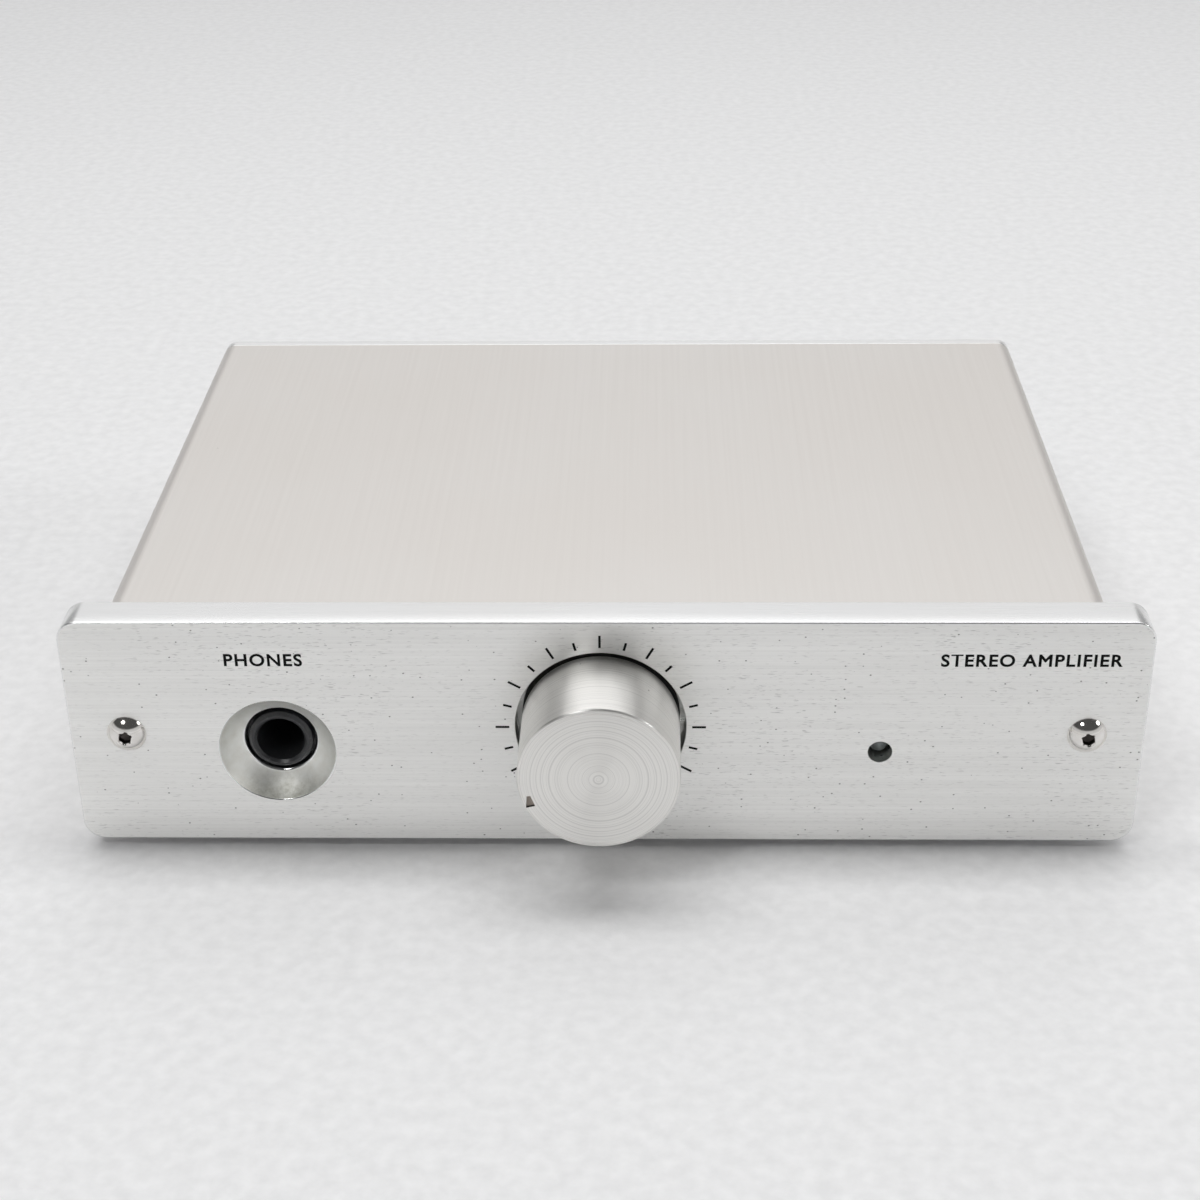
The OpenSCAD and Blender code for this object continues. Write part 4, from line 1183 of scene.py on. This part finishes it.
def thread_profile(radius, depth, start, end, pitch):
    """A ridged length of thread as (radius, distance) pairs."""
    turns = max(1, int(abs(end - start) / pitch))
    step = (end - start) / turns
    pairs = []
    for i in range(turns):
        pairs.append((radius - depth, start + step * i))
        pairs.append((radius, start + step * (i + 0.5)))
    pairs.append((radius - depth, end))
    return pairs


def button_screw(bm, place, length):
    """A round-headed screw. Its head lies on the +Z side of the place, its thread on the -Z side."""
    head_r = 2.81 * MM
    head_h = 1.65 * MM
    socket_rim = 1.12 * MM
    socket_flat = 0.82 * MM
    segments = 96
    dome = (head_r ** 2 + head_h ** 2) / (2 * head_h)
    shape = [(1.1 * MM, -length)]
    shape += thread_profile(1.5 * MM, 0.22 * MM, -length + 0.4 * MM, -0.4 * MM, 0.5 * MM)
    shape += [(1.4 * MM, -0.2 * MM), (1.5 * MM, 0), (head_r - 0.05 * MM, 0), (head_r, 0.06 * MM)]
    steps = 14
    edge_angle = math.asin(head_r / dome) - 0.03
    rim_angle = math.asin(socket_rim / dome)
    for i in range(steps + 1):
        angle = edge_angle + (rim_angle - edge_angle) * i / steps
        shape.append((dome * math.sin(angle), head_h - dome + dome * math.cos(angle)))
    loops = [ring(bm, place, lambda a: radius, distance, segments) for radius, distance in shape]
    top = shape[-1][1]
    for widened, depth in ((1.06, 0.1 * MM), (1.0, 0.17 * MM), (1.0, 1.0 * MM)):
        loops.append(ring(bm, place, hexagon(widened * socket_flat), top - depth, segments))
    for first, second in zip(loops[:-1], loops[1:-1]):
        bridge(bm, first, second)
    # The deep walls and the bottom of the hexagon socket take material 1, dark metal painted as the shade
    # inside the socket.
    bridge(bm, loops[-2], loops[-1], 1)
    for distance, loop, finish in ((-length, loops[0], 0), (top - 1.35 * MM, loops[-1], 1)):
        tip = bm.verts.new(place @ Vector((0, 0, distance)))
        for i in range(segments):
            bm.faces.new((loop[i], loop[(i + 1) % segments], tip)).material_index = finish


def screw_pair(node_name, axis, y, turn, turn_apart, length):
    """Two screws, one at either side, each turned a little differently."""
    bm = bmesh.new()
    for side in SCREW_SIDES:
        turned_by = math.radians(turn + side * turn_apart)
        button_screw(bm, axis(side * SCREW_X, y, MID_Z) @ Matrix.Rotation(turned_by, 4, "Z"), length)
    finish_piece(node_name + "_polished", bm, [screw_metal, painted_shade_recess],
                 "chassis", (node_name,))


# ---- volume knob ----

def prism(outline, front, back, wall, floor):
    """A prism across Y, for cutting into a piece, with finishes for the cut's walls and floor."""
    bm = bmesh.new()
    first = add_loop(bm, outline, front)
    second = add_loop(bm, outline, back)
    bridge(bm, first, second)
    bm.faces.new(first)
    bm.faces.new(list(reversed(second)))
    bm.normal_update()
    for face in bm.faces:
        face.material_index = wall if len(face.verts) == 4 and abs(face.normal.y) < 0.5 else floor
    bmesh.ops.recalc_face_normals(bm, faces=bm.faces)
    return mesh_object("cutter", bm)


def pointer_outline():
    """The pointer notch: a small wedge near the edge of the knob's face, turned to where it rests."""
    inner = KNOB_R - 1.52 * MM
    wedge = [
        (0.9 * MM, inner + 0.5 * MM), (0.78 * MM, inner),
        (-0.97 * MM, inner), (-0.83 * MM, inner + 1.28 * MM),
    ]
    rest_angle = math.radians(110.5)
    cosine = math.cos(rest_angle)
    sine = math.sin(rest_angle)
    return [(KNOB_X + x * cosine - z * sine, KNOB_Z + x * sine + z * cosine) for x, z in wedge]


def volume_knob():
    """The turned knob: a groove round its face, a hollow back, the pointer notch and the set screw's hole."""
    length = KNOB_BACK - KNOB_FRONT
    radius = KNOB_R
    bore = 3.02 * MM
    bore_end = 13 * MM
    hollow_r = 7.4 * MM
    hollow_end = 4.2 * MM
    edge = 0.45 * MM
    set_screw_r = 1.52 * MM
    # The knob's side from just behind the plate's face back, inside the pocket, is painted near-black as
    # painted shade.
    painted_shade_from = PLATE_FACE + 0.65 * MM
    # Places in the list of the knob's materials.
    painted, painted_shade = 1, 2
    shape = [
        (0, bore_end), (bore, bore_end), (bore, hollow_end), (hollow_r, hollow_end), (hollow_r, 0.2 * MM),
        (hollow_r + 0.2 * MM, 0), (radius - 0.3 * MM, 0), (radius - 0.08 * MM, 0.09 * MM), (radius, 0.3 * MM),
        (radius, KNOB_BACK - PLATE_FACE - 0.6 * MM),
    ]
    shape += [(radius - edge * (1 - math.sin(a)), length - edge * (1 - math.cos(a))) for a in arc(6, 90, 0)]
    shape += [(radius - 0.62 * MM, length), (radius - 0.68 * MM, length - 0.035 * MM)]
    shape += [(radius - 0.74 * MM, length)]
    shape += [(radius * (1 - i / 10), length) for i in range(1, 11)]
    bm = bmesh.new()
    turned(bm, shape, forward_axis(KNOB_X, KNOB_BACK, KNOB_Z), segments=256)
    for face in bm.faces:
        if face.calc_center_median().y > painted_shade_from:
            face.material_index = painted_shade
    knob = finish_piece("volume_knob_turned", bm, [knob_metal, pointer_paint, painted_shade_black],
                        "knob", ("volume_knob",), origin=(KNOB_X, KNOB_BACK, KNOB_Z))
    # The notch's walls take the near-black painted shade and its floor the pointer paint.
    cut_away(knob, prism(pointer_outline(), KNOB_FRONT - 1 * MM, KNOB_FRONT + 0.4 * MM, painted_shade, painted))
    screw_low, screw_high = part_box("knob_set_screw")
    below = Matrix.Translation((KNOB_X, (screw_low[1] + screw_high[1]) / 2, KNOB_Z))
    cut_away(knob, drill(below, set_screw_r, -radius - 1 * MM, -1 * MM, segments=48))


# ---- lamp, feet and rear ----

def lamp_lens():
    """The lamp's lens: a domed cylinder with a flange at its back."""
    radius = 1.5 * MM
    flange_r = 1.9 * MM
    back = lamp_low[1] - lamp_high[1]
    flange_front = back + 1 * MM
    shape = [(radius * math.cos(a), -(1 - math.sin(a)) * radius) for a in arc(12, 90, 0)]
    shape += [(radius, flange_front), (flange_r - 0.05 * MM, flange_front)]
    shape += [(flange_r, flange_front - 0.05 * MM), (flange_r, back), (0, back)]
    bm = bmesh.new()
    turned(bm, shape, forward_axis(LAMP_X, lamp_low[1], LAMP_Z), segments=64)
    finish_piece("led_lens_smoked", bm, [lens_smoke], "chassis", ("led_lens",))


def feet():
    """Four round rubber feet, each with a dimple underneath and a neck that meets the case."""
    low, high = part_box("feet")
    radius = 6.2 * MM
    neck_r = 5.4 * MM
    height = high[2] - low[2]
    dimple = [(0, 0.5 * MM), (2.6 * MM, 0.5 * MM), (2.9 * MM, 0.4 * MM), (3.0 * MM, 0.1 * MM), (3.2 * MM, 0)]
    edge = [(5.1 * MM, 0), (5.55 * MM, 0.12 * MM), (5.9 * MM, 0.42 * MM), (6.12 * MM, 0.9 * MM)]
    top = [
        (radius, 1.4 * MM), (radius, height - 0.8 * MM),
        (6.05 * MM, height - 0.62 * MM), (neck_r, height - 0.6 * MM),
    ]
    shape = dimple + edge + top + [(neck_r, height), (0, height)]
    bm = bmesh.new()
    for x in (low[0] + radius, high[0] - radius):
        for y in (low[1] + radius, high[1] - radius):
            turned(bm, shape, Matrix.Translation((x, y, low[2])), segments=96)
    finish_piece("feet_moulded", bm, [foot_rubber], "chassis", ("feet",))


def rear_panel():
    """The back of the case, drilled for its sockets, its toggle and its screws."""
    # The place in the list of the panel's materials.
    cut = 2
    input_hole_r = 4.0 * MM
    switch_hole_r = 3.1 * MM
    inlet_hole_r = 4.5 * MM
    places = [(x, input_hole_r) for x in INPUT_X]
    places += [(SWITCH_X, switch_hole_r), (INLET_X, inlet_hole_r)]
    places += [(side * SCREW_X, SCREW_HOLE_R) for side in SCREW_SIDES]
    holes = [(x, MID_Z, cut, drilled(radius, PANEL_OUT - PANEL_IN, 0.06 * MM)) for x, radius in places]
    bm = bmesh.new()
    milled_plate(bm, rounded_outline(CASE_W, CASE_H, 2.5 * MM), PANEL_IN, PANEL_OUT, 0.18 * MM, holes)
    finish_piece("rear_panel_brushed", bm, [panel_face, plate_edge, cut_metal],
                 "chassis", ("rear_panel",))


def input_shells():
    """The outer contacts of the phono sockets: a threaded tail, a flange on the panel and a plain barrel."""
    flange_r = INPUT_FLANGE_R
    flange_end = 1.6 * MM
    barrel_r = 4.15 * MM
    bore = 3.45 * MM
    thread_r = 3.9 * MM
    tail = shell_low[1] - PANEL_OUT
    reach = shell_high[1] - PANEL_OUT
    thread = thread_profile(thread_r, 0.15 * MM, tail + 0.3 * MM, -0.1 * MM, 0.5 * MM)
    flange = [
        (thread_r, 0), (flange_r - 0.08 * MM, 0), (flange_r, 0.08 * MM), (flange_r, flange_end - 0.3 * MM),
        (flange_r - 0.08 * MM, flange_end - 0.12 * MM), (flange_r - 0.3 * MM, flange_end),
    ]
    barrel = [
        (4.35 * MM, flange_end), (4.18 * MM, flange_end + 0.08 * MM), (barrel_r, flange_end + 0.25 * MM),
        (barrel_r, reach - 0.3 * MM), (4.08 * MM, reach - 0.1 * MM), (3.9 * MM, reach),
        (3.6 * MM, reach), (bore + 0.03 * MM, reach - 0.06 * MM), (bore, reach - 0.2 * MM),
    ]
    shape = [(bore, tail), (3.75 * MM, tail)] + thread + flange + barrel
    bm = bmesh.new()
    for x in INPUT_X:
        turned(bm, shape, rearward_axis(x, PANEL_OUT, MID_Z), segments=96, closed=True)
    finish_piece("input_shells_plated", bm, [brass_metal], "chassis", ("input_shells",))


def input_ring(node_name, finish):
    """The coloured ring that tells one phono socket from the other."""
    low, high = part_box(node_name)
    length = high[1] - low[1]
    bore = 2.05 * MM
    radius = 3.4 * MM
    shape = [
        (bore, 0), (radius, 0), (radius, length - 0.15 * MM), (3.3 * MM, length - 0.03 * MM),
        (3.1 * MM, length), (2.45 * MM, length), (2.2 * MM, length - 0.15 * MM), (bore, length - 0.5 * MM),
    ]
    bm = bmesh.new()
    turned(bm, shape, rearward_axis((low[0] + high[0]) / 2, low[1], MID_Z), segments=72, closed=True)
    finish_piece(node_name + "_moulded", bm, [finish], "chassis", (node_name,))


def input_contacts():
    """The inner contacts of the phono sockets: rods with a blind bore at the back."""
    low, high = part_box("input_contacts")
    length = high[1] - low[1]
    radius = 2.0 * MM
    bore = 1.6 * MM
    bore_end = 4 * MM
    shape = [
        (0, 0), (radius - 0.1 * MM, 0), (radius, 0.1 * MM), (radius, length - 0.25 * MM),
        (1.92 * MM, length - 0.06 * MM), (1.8 * MM, length), (1.66 * MM, length - 0.05 * MM),
        (bore, length - 0.2 * MM), (bore, bore_end), (0, bore_end),
    ]
    bm = bmesh.new()
    for x in INPUT_X:
        turned(bm, shape, rearward_axis(x, low[1], MID_Z), segments=64)
    finish_piece("input_contacts_plated", bm, [brass_metal], "chassis", ("input_contacts",))


def power_inlet():
    """The low-voltage power socket: a threaded body, a round flange and a bore with a hole for its pin."""
    length = inlet_high[1] - inlet_low[1]
    flange = length - 1.6 * MM
    flange_r = 6.2 * MM
    body_r = 4.4 * MM
    bore = 2.85 * MM
    bore_end = 3 * MM
    pin_r = 1.15 * MM
    shape = [(pin_r, 0), (body_r - 0.1 * MM, 0), (body_r, 0.1 * MM)]
    shape += thread_profile(body_r, 0.16 * MM, 0.6 * MM, flange - 2 * MM, 0.6 * MM)
    shape += [
        (body_r, flange - 1.9 * MM), (body_r, flange),
        (flange_r - 0.1 * MM, flange), (flange_r, flange + 0.1 * MM), (flange_r, length - 0.45 * MM),
        (6.08 * MM, length - 0.16 * MM), (5.8 * MM, length), (3.2 * MM, length),
        (bore + 0.1 * MM, length - 0.1 * MM), (bore, length - 0.3 * MM), (bore, bore_end), (pin_r, bore_end),
    ]
    bm = bmesh.new()
    turned(bm, shape, rearward_axis(INLET_X, inlet_low[1], MID_Z), segments=96, closed=True)
    finish_piece("dc_inlet_moulded", bm, [inlet_black], "chassis", ("dc_inlet",))


def switch_bushing():
    """The toggle's threaded collar, with the hole for the pin that the lever turns on."""
    length = bushing_high[1] - bushing_low[1]
    bore = 2.3 * MM
    pin_r = 0.65 * MM
    shape = [(bore, 0), (2.9 * MM, 0)]
    shape += thread_profile(3.0 * MM, 0.18 * MM, 0.15 * MM, length - 0.5 * MM, 0.55 * MM)
    shape += [(2.7 * MM, length - 0.15 * MM), (2.55 * MM, length)]
    shape += [(bore + 0.1 * MM, length), (bore, length - 0.1 * MM)]
    bm = bmesh.new()
    turned(bm, shape, rearward_axis(SWITCH_X, bushing_low[1], MID_Z), segments=96, closed=True)
    bushing = finish_piece("switch_bushing_threaded", bm, [plated_metal],
                           "chassis", ("switch_bushing",))
    pivot = Matrix.Translation((SWITCH_X, PANEL_OUT - 1 * MM, MID_Z))
    across = pivot @ Matrix.Rotation(math.radians(90), 4, "Y")
    cut_away(bushing, drill(across, pin_r, -5 * MM, 5 * MM, segments=32))


def switch_nut():
    """The toggle's hexagon nut, with corners turned off towards its faces."""
    low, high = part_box("switch_nut")
    thickness = high[1] - low[1]
    corners = hexagon(4 * MM)
    turned_off = 4.2 * MM
    face_r = 3.9 * MM
    bore = 3.05 * MM
    segments = 96
    place = rearward_axis(SWITCH_X, low[1], MID_Z)
    shape = [
        (lambda a: min(corners(a), turned_off), 0.0),
        (corners, 0.25 * MM),
        (corners, thickness - 0.3 * MM),
        (lambda a: min(corners(a), turned_off), thickness - 0.02 * MM),
        (lambda a: face_r, thickness),
        (lambda a: bore + 0.2 * MM, thickness),
        (lambda a: bore, thickness - 0.2 * MM),
        (lambda a: bore, 0.0),
    ]
    bm = bmesh.new()
    rings = [ring(bm, place, reach, distance, segments) for reach, distance in shape]
    for first, second in zip(rings, rings[1:]):
        bridge(bm, first, second)
    bridge(bm, rings[-1], rings[0])
    finish_piece("switch_nut_plated", bm, [plated_metal], "chassis", ("switch_nut",))


front_plate()
dial_marks()
printed_word("label_phones", "PHONES", JACK_X - 0.9 * MM, "CENTER")
printed_word("label_amplifier", "STEREO AMPLIFIER", WORD_RIGHT_END, "RIGHT")
screw_pair("plate_screws", forward_axis, PLATE_FACE, 0, 12, 13.9 * MM)
screw_pair("rear_screws", rearward_axis, PANEL_OUT, 20, 9, 8.9 * MM)
volume_knob()
lamp_lens()
feet()
rear_panel()
input_shells()
input_ring("input_ring_left", white_plastic)
input_ring("input_ring_right", red_plastic)
input_contacts()
power_inlet()
switch_bushing()
switch_nut()


# ---- studio ----

def studio_world():
    """A room with a bright panel behind, a front that is pale below and dark above, and a pale horizon."""
    world = bpy.data.worlds.new("studio")
    bpy.context.scene.world = world
    world.use_nodes = True
    nodes = world.node_tree.nodes
    links = world.node_tree.links
    nodes.clear()

    coordinates = nodes.new("ShaderNodeTexCoord")
    coordinates.label = "Direction looked in"
    split = nodes.new("ShaderNodeSeparateXYZ")
    split.label = "Side, depth and height"
    front_room = nodes.new("ShaderNodeMapRange")
    front_room.label = "Front room: pale below, dark above"
    front_room.interpolation_type = "SMOOTHSTEP"
    front_room.inputs["From Min"].default_value = 0.3
    front_room.inputs["From Max"].default_value = 0.44
    front_room.inputs["To Min"].default_value = 0.6
    front_room.inputs["To Max"].default_value = 0.08
    behind = nodes.new("ShaderNodeMapRange")
    behind.label = "From the front room to the wall behind"
    behind.interpolation_type = "SMOOTHSTEP"
    behind.inputs["From Min"].default_value = 0.0
    behind.inputs["From Max"].default_value = 0.5
    behind.inputs["To Max"].default_value = 0.36
    side = nodes.new("ShaderNodeMath")
    side.label = "Distance to either side"
    side.operation = "ABSOLUTE"
    panel_width = nodes.new("ShaderNodeMapRange")
    panel_width.label = "Width of the bright panel"
    panel_width.interpolation_type = "SMOOTHSTEP"
    panel_width.inputs["From Min"].default_value = 0.3
    panel_width.inputs["From Max"].default_value = 0.42
    panel_width.inputs["To Min"].default_value = 1.0
    panel_width.inputs["To Max"].default_value = 0.0
    panel_depth = nodes.new("ShaderNodeMapRange")
    panel_depth.label = "The panel stands behind"
    panel_depth.interpolation_type = "SMOOTHSTEP"
    panel_depth.inputs["From Min"].default_value = 0.2
    panel_depth.inputs["From Max"].default_value = 0.5
    panel = nodes.new("ShaderNodeMath")
    panel.label = "Bright panel"
    panel.operation = "MULTIPLY"
    panel_light = nodes.new("ShaderNodeMath")
    panel_light.label = "How much brighter the panel is"
    panel_light.operation = "MULTIPLY_ADD"
    panel_light.inputs[1].default_value = 0.45
    band = nodes.new("ShaderNodeMapRange")
    band.label = "Pale band at the horizon"
    band.interpolation_type = "SMOOTHSTEP"
    band.inputs["From Min"].default_value = 0.08
    band.inputs["From Max"].default_value = 0.2
    strength = nodes.new("ShaderNodeMix")
    strength.label = "Band below, room above"
    strength.data_type = "FLOAT"
    strength.inputs["A"].default_value = 0.78
    background = nodes.new("ShaderNodeBackground")
    background.label = "Studio light"
    background.inputs["Color"].default_value = (1.0, 1.0, 1.0, 1)
    output = nodes.new("ShaderNodeOutputWorld")
    output.label = "World"

    links.new(coordinates.outputs["Generated"], split.inputs["Vector"])
    links.new(split.outputs["Z"], front_room.inputs["Value"])
    links.new(front_room.outputs["Result"], behind.inputs["To Min"])
    links.new(split.outputs["Y"], behind.inputs["Value"])
    links.new(split.outputs["X"], side.inputs[0])
    links.new(side.outputs["Value"], panel_width.inputs["Value"])
    links.new(split.outputs["Y"], panel_depth.inputs["Value"])
    links.new(panel_width.outputs["Result"], panel.inputs[0])
    links.new(panel_depth.outputs["Result"], panel.inputs[1])
    links.new(panel.outputs["Value"], panel_light.inputs[0])
    links.new(behind.outputs["Result"], panel_light.inputs[2])
    links.new(split.outputs["Z"], band.inputs["Value"])
    links.new(band.outputs["Result"], strength.inputs["Factor"])
    links.new(panel_light.outputs["Value"], strength.inputs["B"])
    links.new(strength.outputs["Result"], background.inputs["Strength"])
    links.new(background.outputs["Background"], output.inputs["Surface"])

    panel_frame = nodes.new("NodeFrame")
    panel_frame.label = "Bright panel"
    for node in (side, panel_width, panel_depth, panel, panel_light):
        node.parent = panel_frame
    columns = (
        (coordinates,), (split,), (front_room, side, band), (behind, panel_width, panel_depth), (panel,),
        (panel_light,), (strength,), (background,), (output,)
    )
    lay_out(columns)


def area_light(name, shape, width, depth, power):
    """A flat light that shines down from the middle of the floor until it is moved."""
    light = bpy.data.lights.new(name, "AREA")
    light.shape = shape
    light.size = width
    light.size_y = depth
    light.energy = power
    holder = bpy.data.objects.new(name, light)
    bpy.context.scene.collection.objects.link(holder)
    return holder


def lamp(name, direction, power):
    """A round soft lamp in a direction seen from the plate, aimed at the plate."""
    distance = 1.3
    diameter = 0.34
    holder = area_light(name, "DISK", diameter, diameter, power)
    aim = Vector(direction).normalized()
    holder.location = Vector((0, PLATE_FACE, MID_Z)) + aim * distance
    holder.rotation_euler = aim.to_track_quat("Z", "Y").to_euler()


def sheet(name, width, depth, power, place, lights, mirrored):
    """A level sheet of light overhead. It lights matt surfaces, or the metal mirrors it, or both."""
    holder = area_light(name, "RECTANGLE", width, depth, power)
    holder.location = place
    holder.visible_diffuse = lights
    holder.visible_glossy = mirrored
    holder.visible_camera = False


def floor_paint():
    """Pale matt board with a faint mottle."""
    material, nodes, links = empty_material("floor_paint")
    coordinates = nodes.new("ShaderNodeTexCoord")
    coordinates.label = "Place on the floor"
    mottle = nodes.new("ShaderNodeTexNoise")
    mottle.label = "Fine mottle"
    mottle.inputs["Scale"].default_value = 420.0
    mottle.inputs["Detail"].default_value = 3.0
    tone = nodes.new("ShaderNodeValToRGB")
    tone.label = "Paler and darker spots"
    tone.color_ramp.elements[0].position = 0.3
    tone.color_ramp.elements[0].color = (0.77, 0.77, 0.775, 1)
    tone.color_ramp.elements[1].position = 0.7
    tone.color_ramp.elements[1].color = (0.84, 0.84, 0.845, 1)
    bump = nodes.new("ShaderNodeBump")
    bump.label = "Relief of the mottle"
    bump.inputs["Strength"].default_value = 0.35
    bump.inputs["Distance"].default_value = 0.3 * MM
    shader = nodes.new("ShaderNodeBsdfPrincipled")
    shader.label = "Matt board"
    shader.inputs["Roughness"].default_value = 0.6
    output = nodes.new("ShaderNodeOutputMaterial")
    output.label = "Surface"
    links.new(coordinates.outputs["Object"], mottle.inputs["Vector"])
    links.new(mottle.outputs["Fac"], tone.inputs["Fac"])
    links.new(tone.outputs["Color"], shader.inputs["Base Color"])
    links.new(mottle.outputs["Fac"], bump.inputs["Height"])
    links.new(bump.outputs["Normal"], shader.inputs["Normal"])
    links.new(shader.outputs["BSDF"], output.inputs["Surface"])
    lay_out(((coordinates,), (mottle,), (tone, bump), (shader,), (output,)))
    return material


def floor():
    """A wide board under the feet."""
    half_width = 4
    bm = bmesh.new()
    bmesh.ops.create_grid(bm, x_segments=8, y_segments=8, size=half_width)
    board = mesh_object("floor", bm)
    board.data.materials.append(floor_paint())


def front_camera():
    """Stands in front of the plate and a little above, looking down at it."""
    beside = 6.978 * MM
    before = 258.377 * MM
    above = 164.04 * MM
    turned_left = math.radians(1.6238)
    looking_down = math.radians(28.845)
    leaning = math.radians(-0.7766)
    data = bpy.data.cameras.new("camera")
    data.sensor_width = 36
    data.lens = 64.835
    data.clip_start = 0.01
    holder = bpy.data.objects.new("camera", data)
    bpy.context.scene.collection.objects.link(holder)
    place = Matrix.Translation((beside, PLATE_FACE - before, MID_Z + above))
    yaw = Matrix.Rotation(turned_left, 4, "Z")
    tilt = Matrix.Rotation(math.radians(90) - looking_down, 4, "X")
    roll = Matrix.Rotation(leaning, 4, "Z")
    holder.matrix_world = place @ yaw @ tilt @ roll
    bpy.context.scene.camera = holder


studio_world()
lamp("lamp_left", (-0.35, -0.47, 0.81), 2.3)
lamp("lamp_right", (0.82, -0.13, 0.56), 1.9)

# The long box overhead shapes the shadows, the sheet behind it shines in the metal's upper sides,
# and the ceiling lights the floor evenly.
sheet("main_light", 1.34, 0.26, 6.1, (0, PLATE_FACE + 0.14, 1.02), True, False)
sheet("mirrored_sheet", 1.7, 1.1, 7.1, (0, PLATE_FACE + 0.5, 1.02), False, True)
sheet("ceiling_light", 6, 6, 10.6, (0, -0.45, 1.6), True, False)
floor()
front_camera()
bpy.context.scene.view_settings.view_transform = "Standard"
